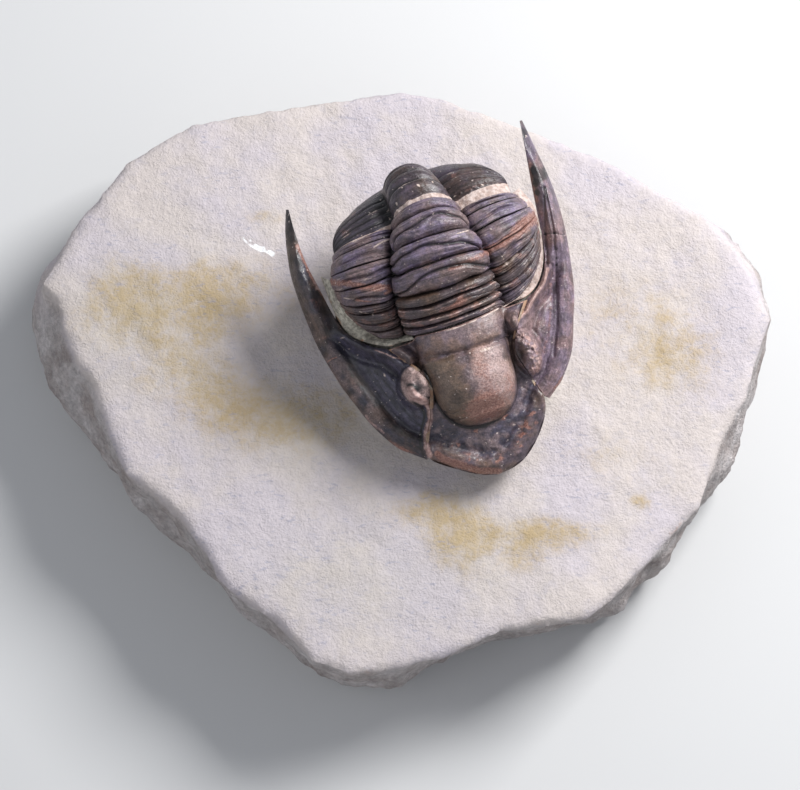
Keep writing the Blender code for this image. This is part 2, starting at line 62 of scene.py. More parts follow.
LEFT_BRIM = [
    (-7.15, -10.85), (-8.3, -9.9), (-9.4, -8.9), (-10.5, -7.1), (-11.2, -5.6), (-11.75, -4.0),
    (-12.25, -2.5), (-12.65, -1.0), (-13.3, 2.2), (-13.55, 5.4), (-13.55, 9.0), (-13.25, 11.2),
    (-12.7, 13.5), (-11.9, 15.6),
]
RIGHT_BRIM = [
    (5.55, -9.2), (6.4, -8.6), (7.35, -7.85), (8.8, -6.05), (9.5, -4.65), (10.05, -3.2), (11.1, -0.4),
    (11.75, 2.6), (12.2, 5.2), (12.4, 8.2), (12.35, 10.6), (12.1, 13.0), (11.75, 16.2),
]
LEFT_SUTURE = [
    (-6.75, -9.5), (-6.1, -8.2), (-5.35, -6.8), (-4.65, -4.4), (-5.1, -2.9), (-6.1, -1.5), (-7.1, 0.0),
]
RIGHT_SUTURE = [(4.85, -8.0), (4.6, -6.9), (3.9, -4.3), (4.15, -3.0), (5.1, -1.5), (6.4, 0.15)]
SUTURE_GAP = 0.05
LEFT_INNER = [(-6.85, -10.6)] + [(v - SUTURE_GAP, u) for v, u in LEFT_SUTURE] + [
    (-8.8, 1.05), (-10.6, 3.4), (-11.5, 8.3), (-11.8, 10.8), (-11.8, 13.2), (-11.65, 15.5),
]
RIGHT_INNER = [(5.2, -8.9)] + [(v + SUTURE_GAP, u) for v, u in RIGHT_SUTURE] + [
    (8.0, 1.05), (9.45, 3.3), (10.2, 7.6), (10.6, 10.4), (11.0, 13.0), (11.5, 16.2),
]
MIDDLE_LEFT = [(-1.3, -14.35), (-2.9, -13.8), (-4.7, -12.7), (-6.78, -11.0)] + LEFT_SUTURE
MIDDLE_RIGHT = [(-0.2, -14.3), (1.5, -13.75), (3.3, -12.3), (4.65, -10.5), (5.1, -9.0)] + RIGHT_SUTURE
HEAD_OUTLINE = LEFT_BRIM[::-1] + MIDDLE_LEFT[3::-1] + MIDDLE_RIGHT[:4] + RIGHT_BRIM
HEAD_LENGTH = 24.0
HEAD_THICKNESS = 0.9
BRIM_HEIGHT = 0.85
BRIM_WIDTH = 2.0
CHEEK_RISE = 2.4
REAR_BORDER_HEIGHT = 0.75
RIGHT_SHOULDER = (4.55, -1.3)
RIGHT_SHOULDER_RISE = 1.9
GLABELLA_CENTRE = (-0.62, -5.2)
GLABELLA_HALF = (3.95, 4.3)
GLABELLA_FLARE = 0.35
GLABELLA_CROWN = [
    (-9.5, 2.6), (-8.4, 4.6), (-7.0, 5.8), (-5.4, 6.15), (-3.8, 5.9), (-3.0, 5.7), (-2.4, 5.5),
]
NECK_FURROW = ([-3.75, -2.4, -0.8, 1.5, 3.0], [-1.85, -2.25, -2.45, -2.6, -2.5])
NECK_MIDDLE = -0.42
NECK_HALF = 4.35
NECK_CROWN = 5.4
FAR_BELOW = -9.0
EYES = [(-6.05, -4.1, 1.65, 2.05), (5.0, -4.5, 1.4, 2.3)]
EYE_HEIGHT = 2.15
RIGHT_EYE_PIT = (4.25, -4.4)
SUTURE_RIDGE = [
    (-6.4, -4.2), (-6.38, -4.8), (-5.93, -5.3), (-5.48, -5.8), (-5.38, -6.5), (-5.6, -7.3),
    (-6.15, -8.1), (-6.6, -8.9), (-6.8, -9.7), (-6.8, -10.6),
]
SUTURE_RIDGE_HEIGHT = 0.5
SUTURE_RIDGE_HALF = 0.33
WRINKLES = [
    [(-3.45, -6.35), (-2.85, -6.8), (-2.25, -6.85)],
    [(-4.15, -7.1), (-3.55, -7.55), (-2.95, -7.5)],
    [(-3.75, -8.05), (-3.1, -8.3), (-2.5, -8.3)],
]
WRINKLE_HALF = 0.09
NOTCH_EDGE = [(3.1, -7.0), (4.2, -8.15), (4.65, -9.05), (4.65, -10.05), (4.15, -11.1)]
FRONT_RUST = [(-6.05, -10.7), (-5.9, -11.1), (-4.6, -12.2), (-2.8, -13.5), (-1.2, -14.1)]
FRONT_SPOTS = [
    (2.74, -10.86, 0.75), (3.4, -9.9, 0.5), (1.0, -9.5, 0.4), (2.0, -11.6, 0.4), (-0.9, -12.9, 0.6),
    (-1.96, -9.85, 0.35), (-4.2, -10.5, 0.4), (1.6, -12.3, 0.5), (-3.0, -12.2, 0.5),
]
ROSY_PATCH = ((1.2, -5.3), (2.0, 3.3))
GLABELLA_MARKS = [
    ("frost_and_sheen", 0.1, (-3.2, -4.6), (1.2, 1.8)),
    ("rust", 1.0, (-0.5, -8.0), (2.5, 1.4)),
    ("rust", 0.6, (0.4, -4.2), (1.3, 2.6)),
    ("rust", 0.45, (2.6, -6.4), (0.7, 1.6)),
]
# Painted sheen: a pale patch on the right of the neck ring.
NECK_PAINTED_SHEEN = [("frost_and_sheen", 0.22, (2.2, -0.9), (2.6, 1.6))]
MIDDLE_MARKS = [
    ("rust", 1.0, FRONT_RUST, 0.42),
    ("rust", 0.5, (-3.4, -11.6), (0.8, 0.6)),
    # Painted shade in the hollow between the glabella and the right eye.
    ("soot_and_shade", 0.7, (2.8, -4.1), (0.45, 0.7)),
    ("blush", 0.95, SUTURE_RIDGE, SUTURE_RIDGE_HALF),
    ("blush", 0.5, (5.0, -1.2), (0.9, 0.5)),
    # Painted highlight: a pale band on the glabella's rear just before the neck furrow.
    ("chalk_and_highlight", 0.8, (1.4, -2.95), (0.9, 0.2)),
]
SHELL_MASKS = ("rust", "blush", "chalk_and_highlight", "soot_and_shade", "olive", "frost_and_sheen", "indigo")
UNDER_SHARE = 0.4


def ramp(low, high, x):
    """0 below the first value, 1 above the second, smooth between."""
    t = np.clip((x - low) / (high - low), 0.0, 1.0)
    return t * t * (3.0 - 2.0 * t)


def fall(low, high, x):
    """1 below the first value, 0 above the second, smooth between."""
    return 1.0 - ramp(low, high, x)


def hump(x, middle, width):
    """1 at the middle, and almost 0 two widths away."""
    return np.exp(-(((x - middle) / width) ** 2))


def spot(v, u, at, half):
    """A soft round patch, 1 at its middle."""
    return np.exp(-(((v - at[0]) / half[0]) ** 2) - ((u - at[1]) / half[1]) ** 2)


def curve(points, t):
    """Points at t, from 0 to 1, on a smooth line through the given points."""
    knots = np.array(points, float)
    last = len(knots) - 1
    x = np.clip(t, 0.0, 1.0) * last
    i = np.minimum(x.astype(int), last - 1)
    f = (x - i)[..., None]
    a, b, c, d = (knots[np.clip(i + k, 0, last)] for k in (-1, 0, 1, 2))
    return 0.5 * (2 * b + (c - a) * f + (2 * a - 5 * b + 4 * c - d) * f**2 + (3 * b - a - 3 * c + d) * f**3)


def line_gap(line, v, u):
    """How far points lie from an open line."""
    best = np.full(np.shape(v), 1e9)
    for (v0, u0), (v1, u1) in zip(line, line[1:]):
        dv, du = v1 - v0, u1 - u0
        t = np.clip(((v - v0) * dv + (u - u0) * du) / (dv * dv + du * du + 1e-9), 0.0, 1.0)
        best = np.minimum(best, np.hypot(v - v0 - t * dv, u - u0 - t * du))
    return best


def stroke(v, u, line, half):
    """A soft band along an open line, 1 on the line."""
    return hump(line_gap(line, v, u), 0.0, half)


def strongest(layers):
    """The largest of several layers at each point."""
    return np.max(list(layers), axis=0)


def blank(labels, shape):
    return {label: np.zeros(shape) for label in labels}


def add_marks(masks, v, u, marks, zone=1.0):
    """Adds soft marks inside a zone. Each row names a mask and how strong the mark is, and gives
    a point with two half sizes or a line with its half width."""
    for label, strength, place, half in marks:
        shape = stroke(v, u, place, half) if np.isscalar(half) else spot(v, u, place, half)
        masks[label] += strength * zone * shape


def stacked(*parts):
    """Points from their coordinates, each an array or one number."""
    return np.stack(np.broadcast_arrays(*parts), axis=-1)


def lumps(points, size, seed=0.0):
    """Smooth noise of about -1 to 1 whose lumps are this size in mm."""
    flat = (points.reshape(-1, 3) / size + seed).tolist()
    return np.array([noise.noise(p) for p in flat]).reshape(points.shape[:-1])


def patches(points, size, seed, low, high):
    """Ragged patches: 1 where the lumps stand above the second level, 0 below the first."""
    return ramp(low, high, lumps(points, size, seed))


def rolled(away, radius):
    """How far a rounded rim has dropped at this distance from its edge."""
    inside = np.clip(radius - away, 0.0, radius)
    return radius - np.sqrt(radius * radius - inside * inside)


def dense_ends(count, crowd):
    """Values from 0 to 1 that stand closer together at both ends."""
    t = np.linspace(0.0, 1.0, count)
    return (1.0 - crowd) * t + crowd * (0.5 - 0.5 * np.cos(np.pi * t))


def between(first, second, t, f):
    """A grid from one line to another, and how far apart the lines are in each row."""
    start, end = curve(first, t), curve(second, t)
    v, u = np.moveaxis(start[:, None] + (end - start)[:, None] * f[:, None], -1, 0)
    return v, u, np.hypot(*(end - start).T)[:, None]


def glabella_crown(u):
    """W of the glabella's middle line."""
    w = np.full(u.shape, GLABELLA_CROWN[0][1])
    for (u0, w0), (u1, w1) in zip(GLABELLA_CROWN, GLABELLA_CROWN[1:]):
        w = np.where(u > u0, w0 + (w1 - w0) * ramp(u0, u1, u), w)
    return w


def glabella_foot(v, u, flare=0.0):
    """Grows outwards from the middle of the glabella, and is 1 round its foot."""
    across = np.abs((v - GLABELLA_CENTRE[0]) / (GLABELLA_HALF[0] + flare)) ** 2.5
    ahead = np.abs(np.minimum(u - GLABELLA_CENTRE[1], 0.0) / GLABELLA_HALF[1]) ** 2.2
    return across + ahead


def eye_relief(v, u):
    """Both eyes as domes with a faint furrow round them, the right one hollow on its inner side."""
    found = np.zeros(v.shape)
    for eye_v, eye_u, half_v, half_u in EYES:
        away = ((v - eye_v) / half_v) ** 2 + ((u - eye_u) / half_u) ** 2
        found += EYE_HEIGHT * np.clip(1.0 - away, 0.0, None) ** 0.65 - 0.14 * hump(away, 1.3, 0.3)
    return found - 1.1 * spot(v, u, RIGHT_EYE_PIT, (0.5, 0.95))


def swollen(base, crown, inside, power):
    """W of a swelling on the base, from 0 at its foot to 1 at its crown."""
    return np.where(inside > 0.0, base + (crown - base) * inside**power, FAR_BELOW)


def head_surface(v, u):
    """W of the upper side of the whole head."""
    edge = line_gap(HEAD_OUTLINE, v, u)
    rear = np.minimum(line_gap(LEFT_INNER[6:10], v, u), line_gap(RIGHT_INNER[5:9], v, u))
    brim = BRIM_HEIGHT * ramp(-0.3, 0.9, edge) - 0.35 * hump(edge, BRIM_WIDTH, 0.45)
    cheek = CHEEK_RISE * ramp(BRIM_WIDTH, 7.5, edge) * ramp(-13.5, -7.0, u)
    border = REAR_BORDER_HEIGHT * (hump(rear, 0.45, 0.45) - 0.6 * hump(rear, 1.45, 0.4))
    border = border + RIGHT_SHOULDER_RISE * spot(v, u, RIGHT_SHOULDER, (0.75, 1.15))
    arch = 0.2 - 0.7 * ((v + 0.7) / 13.0) ** 2
    base = arch + brim + (cheek + border + eye_relief(v, u)) * fall(1.0, 5.0, u)
    neck_line = np.interp(v, *NECK_FURROW)
    behind = u > neck_line
    foot = glabella_foot(v, u, GLABELLA_FLARE * ramp(-5.0, -2.2, u))
    inside = np.where(behind, 0.0, np.clip(1.0 - foot, 0.0, 1.0))
    glabella = swollen(base, glabella_crown(u), inside, 0.55)
    inside = behind * np.clip(1.0 - (np.abs(v - NECK_MIDDLE) / NECK_HALF) ** 2.5, 0.0, 1.0)
    neck = swollen(base, NECK_CROWN + 0.3 * (1.0 - ((u + 1.0) / 1.5) ** 2), inside, 0.58)
    furrow = (0.14 + 0.06 * np.abs(v)) * hump(u, neck_line, 0.33) * fall(3.6, 4.4, np.abs(v + 0.4))
    ridge = SUTURE_RIDGE_HEIGHT * stroke(v, u, SUTURE_RIDGE, SUTURE_RIDGE_HALF)
    return np.maximum(base, np.maximum(glabella, neck)) - furrow + ridge


def on_slab(points):
    """From the animal's frame to the slab's."""
    return points @ BODY_TURN.T + BODY_AT


def closed_mesh(name, rings, material, masks, grain, sharp=62.0):
    """One closed mesh through rings of points in mm, with its colour masks as attributes."""
    count, size = rings.shape[:2]
    index = np.arange(count * size).reshape(count, size)
    after = np.roll(index, -1, axis=1)
    quads = np.stack([index[:-1], after[:-1], after[1:], index[1:]], axis=-1).reshape(-1, 4)
    points = rings.reshape(-1, 3)
    a, b, c, d = (points[quads[:, k]] - points.mean(axis=0) for k in range(4))
    volume = (np.cross(a, b) * c).sum() + (np.cross(a, c) * d).sum()
    faces = quads.tolist() + [index[0, ::-1].tolist(), index[-1].tolist()]
    if volume < 0.0:
        faces = [face[::-1] for face in faces]
    mesh = bpy.data.meshes.new(name)
    mesh.from_pydata((points * MM).tolist(), [], faces)
    for label, values in masks.items():
        layer = mesh.attributes.new(label, "FLOAT", "POINT")
        layer.data.foreach_set("value", np.clip(values, 0.0, 1.0).ravel().astype(np.float32))
    layer = mesh.attributes.new("grain", "FLOAT_VECTOR", "POINT")
    layer.data.foreach_set("vector", grain.ravel().astype(np.float32))
    mesh.polygons.foreach_set("use_smooth", [True] * len(mesh.polygons))
    mesh.set_sharp_from_angle(angle=radians(sharp))
    mesh.materials.append(material)
    mesh.validate()
    obj = bpy.data.objects.new(name, mesh)
    bpy.context.scene.collection.objects.link(obj)
    return obj


def wrapped(labels, masks, shape, columns, share=1.0):
    """An upper side's masks, carried on over these columns of the under side."""
    full = {}
    for label in labels:
        values = np.broadcast_to(masks.get(label, 0.0), shape)
        full[label] = np.concatenate([values, values[:, columns] * share], axis=1)
    return full


def plate(name, top, under, under_columns, masks, grain, material):
    """A shell plate from the grids of its upper and its under side in the animal's frame. They
    meet in a thin edge, and the under side keeps fewer columns."""
    columns = np.linspace(top.shape[1] - 1, 0, under_columns).round().astype(int)
    rings = on_slab(np.concatenate([top, under[:, columns]], axis=1))
    full = wrapped(SHELL_MASKS, masks, top.shape[:2], columns, UNDER_SHARE)
    grain = np.concatenate([grain, grain[:, columns]], axis=1)
    return closed_mesh(name, rings, material, full, grain)


def lowered(top, depth):
    """The under side of a head plate: this deep below, and half as deep at both edges."""
    thin = np.ones(top.shape[1])
    thin[[0, -1]] = 0.5
    under = top.copy()
    under[..., 2] -= depth * thin
    return under


class Nodes:
    """Makes the shader nodes of one tree. Sockets are passed on as they are, other values are
    set on the new node's own input."""

    def __init__(self, tree):
        self.tree = tree

    def fill(self, socket, value):
        if isinstance(value, bpy.types.NodeSocket):
            self.tree.links.new(value, socket)
        elif socket.type == "RGBA":
            socket.default_value = (*value, 1.0)
        else:
            socket.default_value = value

    def add(self, kind, inputs, **settings):
        node = self.tree.nodes.new(f"ShaderNode{kind}")
        for key, value in settings.items():
            setattr(node, key, value)
        for key, value in inputs.items():
            self.fill(node.inputs[key], value)
        return node

    def place(self):
        return self.add("TexCoord", {}).outputs["Object"]

    def attribute(self, name, output="Fac"):
        return self.add("Attribute", {}, attribute_name=name).outputs[output]

    def mix(self, amount, low, high, blend="MIX"):
        """The colour between two others."""
        node = self.add("Mix", {0: amount, 6: low, 7: high}, data_type="RGBA", blend_type=blend)
        return node.outputs[2]

    def tint(self, colour, factor):
        return self.mix(1.0, colour, factor, "MULTIPLY")

    def combine(self, operation, first, second, third=0.0):
        return self.add("Math", {0: first, 1: second, 2: third}, operation=operation).outputs[0]

    def times(self, first, second):
        return self.combine("MULTIPLY", first, second)

    def plus(self, first, second):
        return self.combine("ADD", first, second)

    def scaled(self, value, factor, more):
        """The value times the factor, with more added."""
        return self.combine("MULTIPLY_ADD", value, factor, more)

    def jitter(self, value, amount):
        """Noise as a shift of this amount in all, to both sides of 0."""
        return self.scaled(value, amount, -0.5 * amount)

    def spread(self, value, low, high, to_low=0.0, to_high=1.0):
        """A value taken smoothly from one range to another."""
        inputs = {"Value": value, "From Min": low, "From Max": high, "To Min": to_low, "To Max": to_high}
        return self.add("MapRange", inputs, interpolation_type="SMOOTHSTEP").outputs["Result"]

    def noise(self, vector, size, detail=3.0, rough=0.55):
        """Noise whose lumps are about this size in mm, on coordinates in metres."""
        inputs = {"Vector": vector, "Scale": 1.0 / MM / size, "Detail": detail, "Roughness": rough}
        return self.add("TexNoise", inputs).outputs["Fac"]


OLIVE = (0.088, 0.058, 0.036)
INDIGO = (0.052, 0.047, 0.072)
# Pale pinkish grey for the shell's bloom and for a painted sheen on the neck ring.
FROST_AND_SHEEN = (0.52, 0.365, 0.34)
DARK_RUST, PALE_RUST = (0.17, 0.062, 0.045), (0.4, 0.21, 0.165)
DARK_BLUSH, PALE_BLUSH = (0.28, 0.16, 0.145), (0.52, 0.36, 0.33)
# Near-black for real grime and for painted shade in furrows, creases, pits and hollows.
SOOT_AND_SHADE = (0.01, 0.008, 0.009)
# Pale rock residue, also used for one painted highlight before the neck furrow.
DARK_CHALK_AND_HIGHLIGHT, PALE_CHALK_AND_HIGHLIGHT = (0.42, 0.31, 0.25), (0.75, 0.63, 0.57)
SPECK = (0.6, 0.5, 0.46)


def aged_shell_group():
    """Dark fossil shell: brown to violet body colour in streaks that follow the plate, with stains,
    bare edges, rock residue, grime, painted shade in furrows and hollows, and a little painted
    sheen and highlight where the plate's masks say."""
    tree = bpy.data.node_groups.new("aged_shell", "ShaderNodeTree")
    for way, sockets in (
        ("INPUT", {"Brown": "Color", "Violet": "Color", "Streaks": "Float"}),
        ("OUTPUT", {"Color": "Color", "Roughness": "Float", "Height": "Float"}),
    ):
        for name, kind in sockets.items():
            tree.interface.new_socket(name=name, in_out=way, socket_type=f"NodeSocket{kind}")
    given = tree.nodes.new("NodeGroupInput").outputs
    make = Nodes(tree)
    place = make.place()
    masks = {label: make.attribute(label) for label in SHELL_MASKS}
    broad = make.noise(place, 2.2)
    patch = make.noise(place, 0.95, 5.0, 0.62)
    middle = make.noise(place, 0.42, 4.0, 0.65)
    fine = make.noise(place, 0.17, 3.0, 0.7)
    streak = make.noise(make.attribute("grain", "Vector"), 1.0 / MM, 4.0, 0.65)

    def ragged(label, low=0.28, high=0.8, amount=0.9):
        """A mask whose edges the noise has broken up."""
        shift = make.times(make.jitter(middle, amount), make.spread(masks[label], 0.0, 0.35))
        return make.spread(make.plus(masks[label], shift), low, high)

    body = make.mix(make.spread(broad, 0.38, 0.62), given["Brown"], given["Violet"])
    body = make.mix(masks["olive"], body, OLIVE)
    body = make.mix(ragged("indigo", 0.1, 1.0, 0.8), body, INDIGO)
    body = make.tint(body, make.scaled(make.spread(streak, 0.3, 0.7, -0.75, 0.75), given["Streaks"], 1.0))
    body = make.tint(body, make.spread(patch, 0.32, 0.68, 0.55, 1.35))
    body = make.tint(body, make.spread(fine, 0.3, 0.7, 0.72, 1.28))
    # Pale bloom of the shell, and a painted sheen on the neck ring.
    bloom = make.times(masks["frost_and_sheen"], make.spread(fine, 0.35, 0.65, 0.35, 1.0))
    body = make.mix(bloom, body, FROST_AND_SHEEN)
    rust = make.mix(make.spread(fine, 0.35, 0.65), DARK_RUST, PALE_RUST)
    body = make.mix(make.times(ragged("rust"), 0.85), body, rust)
    blush = make.mix(make.spread(middle, 0.35, 0.65), DARK_BLUSH, PALE_BLUSH)
    body = make.mix(ragged("blush"), body, blush)
    # Near-black over real grime and over painted shade in the furrows, creases and hollows.
    body = make.mix(ragged("soot_and_shade", 0.2, 0.95, 0.3), body, SOOT_AND_SHADE)
    # Pale rock residue, and one painted highlight before the neck furrow.
    chalk_and_highlight = make.mix(make.spread(fine, 0.35, 0.65), DARK_CHALK_AND_HIGHLIGHT, PALE_CHALK_AND_HIGHLIGHT)
    body = make.mix(ragged("chalk_and_highlight"), body, chalk_and_highlight)
    specks = make.spread(make.noise(place, 0.28, 1.0, 0.5), 0.72, 0.78, 0.0, 0.75)
    body = make.mix(specks, body, SPECK)
    matt = make.combine("MAXIMUM", make.combine("MAXIMUM", masks["chalk_and_highlight"], masks["blush"]), masks["frost_and_sheen"])
    rough = make.scaled(matt, 0.3, make.scaled(make.spread(middle, 0.3, 0.7), 0.16, 0.27))
    height = make.scaled(middle, 0.9, make.times(fine, 0.5))
    height = make.scaled(make.times(streak, given["Streaks"]), 1.6, height)
    out = tree.nodes.new("NodeGroupOutput").inputs
    for name, value in {"Color": body, "Roughness": rough, "Height": height}.items():
        make.fill(out[name], value)
    return tree


AGED_SHELL = aged_shell_group()


def new_material(name):
    """A material with its Principled shader, and the maker of its nodes."""
    material = bpy.data.materials.new(name)
    material.use_nodes = True
    return material, Nodes(material.node_tree)


def set_shader(make, **values):
    """Fills the Principled shader's inputs, which are named here with low lines for spaces."""
    shader = make.tree.nodes["Principled BSDF"]
    for key, value in values.items():
        make.fill(shader.inputs[key.replace("_", " ")], value)


def bumpy(make, height, relief):
    """The normal of a surface whose bumps are this deep in mm."""
    return make.add("Bump", {"Height": height, "Distance": relief * MM, "Strength": 1.0}).outputs["Normal"]


def shell_material(name, brown, violet, streaks, relief=0.06):
    """The aged shell in a plate's own two colours, with streaks of its own strength."""
    material, make = new_material(name)
    look = {"Brown": brown, "Violet": violet, "Streaks": streaks}
    given = make.add("Group", {}, node_tree=AGED_SHELL)
    for key, value in look.items():
        make.fill(given.inputs[key], value)
    out = given.outputs
    normal = bumpy(make, out["Height"], relief)
    colour, rough = out["Color"], out["Roughness"]
    set_shader(make, Base_Color=colour, Roughness=rough, Normal=normal, Specular_IOR_Level=0.6)
    return material


def finish_piece(piece, node):
    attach(piece, "root")
    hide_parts(node)


def neck_edge(v):
    """How far the rear edge of the plate stands behind its corners."""
    aside = np.abs(v + 0.2)
    return (0.025 * aside**2 - 0.07) * fall(4.0, 4.7, aside)


def cranidium():
    t = np.linspace(0.0, 1.0, 250)
    f = dense_ends(190, 0.6)
    v, u, width = between(MIDDLE_LEFT, MIDDLE_RIGHT, t, f)
    t = t[:, None]
    u = u + ramp(0.78, 1.0, t) * neck_edge(v)
    smooth = head_surface(v, u)
    flat = stacked(v, u, smooth)
    from_side = np.minimum(f, 1.0 - f) * width
    from_rear = (1.0 - t) * HEAD_LENGTH
    edge = line_gap(HEAD_OUTLINE, v, u)
    foot = glabella_foot(v, u)
    on_glabella = fall(0.9, 1.0, foot) * fall(-2.6, -2.2, u)
    field = ramp(1.0, 1.25, foot) * fall(-7.6, -6.4, u) * ramp(1.0, 2.0, edge)
    behind = ramp(-2.2, -1.9, u)
    wrinkle = strongest(stroke(v, u, line, WRINKLE_HALF) for line in WRINKLES)
    notch = (1.0 - f) * width
    at_notch = ramp(-11.6, -10.8, u) * fall(-8.3, -7.7, u)
    w = smooth - rolled(from_side, 0.05) - rolled(edge, 0.3) - rolled(from_rear, 0.42)
    w += (0.05 * lumps(flat, 0.9, 3.1) + 0.03 * lumps(flat, 0.25, 5.3)) * on_glabella
    w -= 0.07 * wrinkle
    w += field * (0.18 * lumps(flat, 1.3, 1.7) + 0.07 * lumps(flat, 0.5, 3.3) - 0.08)
    w += 0.03 * lumps(flat, 0.35, 8.8) * (1.0 - on_glabella)
    w += at_notch * (0.12 * hump(notch, 0.25, 0.25) - 0.08 * hump(notch, 0.8, 0.3))
    w -= 0.08 * stroke(v, u, NOTCH_EDGE, 0.12) * fall(-7.6, -7.0, u) * (1.0 - at_notch)
    mottle = lumps(flat, 1.6, 9.0)
    masks = blank(SHELL_MASKS, v.shape)
    add_marks(masks, v, u, GLABELLA_MARKS, on_glabella)
    add_marks(masks, v, u, MIDDLE_MARKS)
    masks["frost_and_sheen"] += on_glabella * (0.72 * ramp(0.25, 0.6, spot(v, u, *ROSY_PATCH) + 0.15 * mottle) + 0.06)
    # Painted sheen on the neck ring.
    add_marks(masks, v, u, NECK_PAINTED_SHEEN, behind)
    masks["frost_and_sheen"] += 0.12 * behind * fall(3.4, 4.6, np.abs(v + 0.3))
    masks["frost_and_sheen"] += 0.3 * field * patches(flat, 0.8, 5.0, -0.2, 0.4)
    masks["indigo"] += 0.42 * field + 0.35 * (1.0 - on_glabella) * (1.0 - behind)
    masks["indigo"] += behind * (0.45 * ramp(2.6, 3.8, v) + 0.5 * fall(-4.6, -3.4, v))
    masks["olive"] += on_glabella * (0.85 * fall(-2.6, -0.6, v) + 0.1)
    # Painted shade: near-black in the furrow round the glabella's foot and in the wrinkles; the mottle on the
    # field is real grime.
    foot_line = 0.85 * hump(foot, 1.05, 0.13) * fall(-2.0, 1.5, v) + 0.55 * hump(foot, 1.02, 0.06)
    masks["soot_and_shade"] += foot_line * fall(-2.6, -2.0, u) + 0.6 * wrinkle + 0.3 * ramp(0.35, 0.7, mottle) * field
    masks["blush"] += 0.45 * at_notch * hump(notch, 0.2, 0.3) * ramp(-0.3, 0.2, mottle)
    masks["blush"] += 0.9 * hump(from_rear, 0.12, 0.15) + 0.35 * behind * patches(flat, 1.1, 2.2, -0.2, 0.3)
    for at_v, at_u, size in FRONT_SPOTS:
        rusty = spot(v, u, (at_v, at_u), (size * 1.4, size * 0.8)) * patches(flat, 0.4, 6.2, -0.25, 0.15)
        masks["rust"] = np.maximum(masks["rust"], 0.9 * rusty)
    flecks = patches(flat * (1.0, 2.0, 1.0), 0.5, 4.4, 0.42, 0.52) * patches(flat, 2.0, 7.7, 0.0, 0.3)
    pale_rear = hump(from_rear, 0.4, 0.13) * ramp(-2.6, -0.6, v) * fall(3.6, 4.2, v)
    masks["chalk_and_highlight"] += 0.6 * field * flecks + 0.85 * pale_rear * patches(flat, 0.7, 8.0, -0.6, 0.0)
    top = stacked(v, u, w)
    grain = stacked(v * 0.6, u * 3.0, 0.0)
    material = shell_material("brown_shell_worn_smooth", (0.15, 0.092, 0.07), (0.105, 0.076, 0.09), 0.3)
    return plate("cranidium_worn", top, lowered(top, HEAD_THICKNESS), 47, masks, grain, material)


middle_plate = cranidium()
finish_piece(middle_plate, "cranidium")

# Left cheek plate: the free cheek with its eye and long spine. The same shell, dark blue inside
# its brown border, mottled and chipped along the spine, cemented to the rock, with a bare ridge
# left where it parted from the middle plate.
SPINE_SWELL = 0.7
LEFT_PIT = (-5.7, -3.95)
LEFT_BULGE = (-6.5, -6.2)
LEFT_REAR_LINE = [(-8.36, 0.4), (-7.6, -0.2), (-7.0, -0.8), (-6.1, -1.3)]
LEFT_CRACK = [(-12.95, 0.86), (-12.4, 0.98), (-11.96, 0.98)]
LEFT_SCAR = [(-11.16, -5.11), (-11.0, -5.8), (-10.5, -6.5), (-10.2, -7.1)]
LEFT_SPINE_EDGE = [(-12.0, 12.0), (-11.83, 10.9), (-11.7, 9.5), (-11.6, 8.5), (-11.3, 7.4), (-11.1, 6.4)]
LEFT_MARKS = [
    ("blush", 0.95, SUTURE_RIDGE, SUTURE_RIDGE_HALF),
    ("blush", 0.75, LEFT_REAR_LINE, 0.1),
    ("blush", 0.55, LEFT_SCAR, 0.22),
    ("blush", 0.9, (-11.4, 8.0), (0.45, 0.9)),
    ("rust", 0.8, LEFT_SPINE_EDGE, 0.28),
    ("rust", 0.85, LEFT_CRACK, 0.07),
    ("rust", 0.55, (-12.5, 3.1), (0.35, 0.45)),
    ("olive", 0.85, LEFT_BULGE, (0.6, 0.8)),
    ("chalk_and_highlight", 0.9, (-8.3, -2.1), (0.1, 0.26)),
    ("chalk_and_highlight", 0.6, (-10.9, 2.5), (0.4, 0.14)),
]


def cheek_grid(brim, inner, inner_roll):
    """Grid over a cheek from the front of its suture to the tip of its spine, with its distances
    from both edges, its smooth upper side and its depth."""
    t = np.linspace(0.0, 1.0, 430)
    f = dense_ends(96, 0.6)
    v, u, width = between(brim, inner, t, f)
    t = t[:, None]
    outer, inner_gap = f * width, (1.0 - f) * width
    spine, taper = ramp(0.55, 0.72, t), fall(0.7, 1.0, t)
    swell = SPINE_SWELL * spine * taper * np.sin(np.pi * f)
    w = head_surface(v, u) + swell - rolled(outer, 0.3) - rolled(inner_gap, inner_roll)
    depth = HEAD_THICKNESS * (1.0 - spine) + spine * (0.5 + 0.6 * taper) + 2.0 * swell
    return t, v, u, w, outer, inner_gap, depth


def cheek_plate(name, v, u, w, outer, depth, masks, material):
    """A cheek whose streaks run along its brim."""
    top = stacked(v, u, w)
    grain = stacked(outer * 2.6, u * 0.35, 0.0)
    return plate(name, top, lowered(top, depth), 24, masks, grain, material)


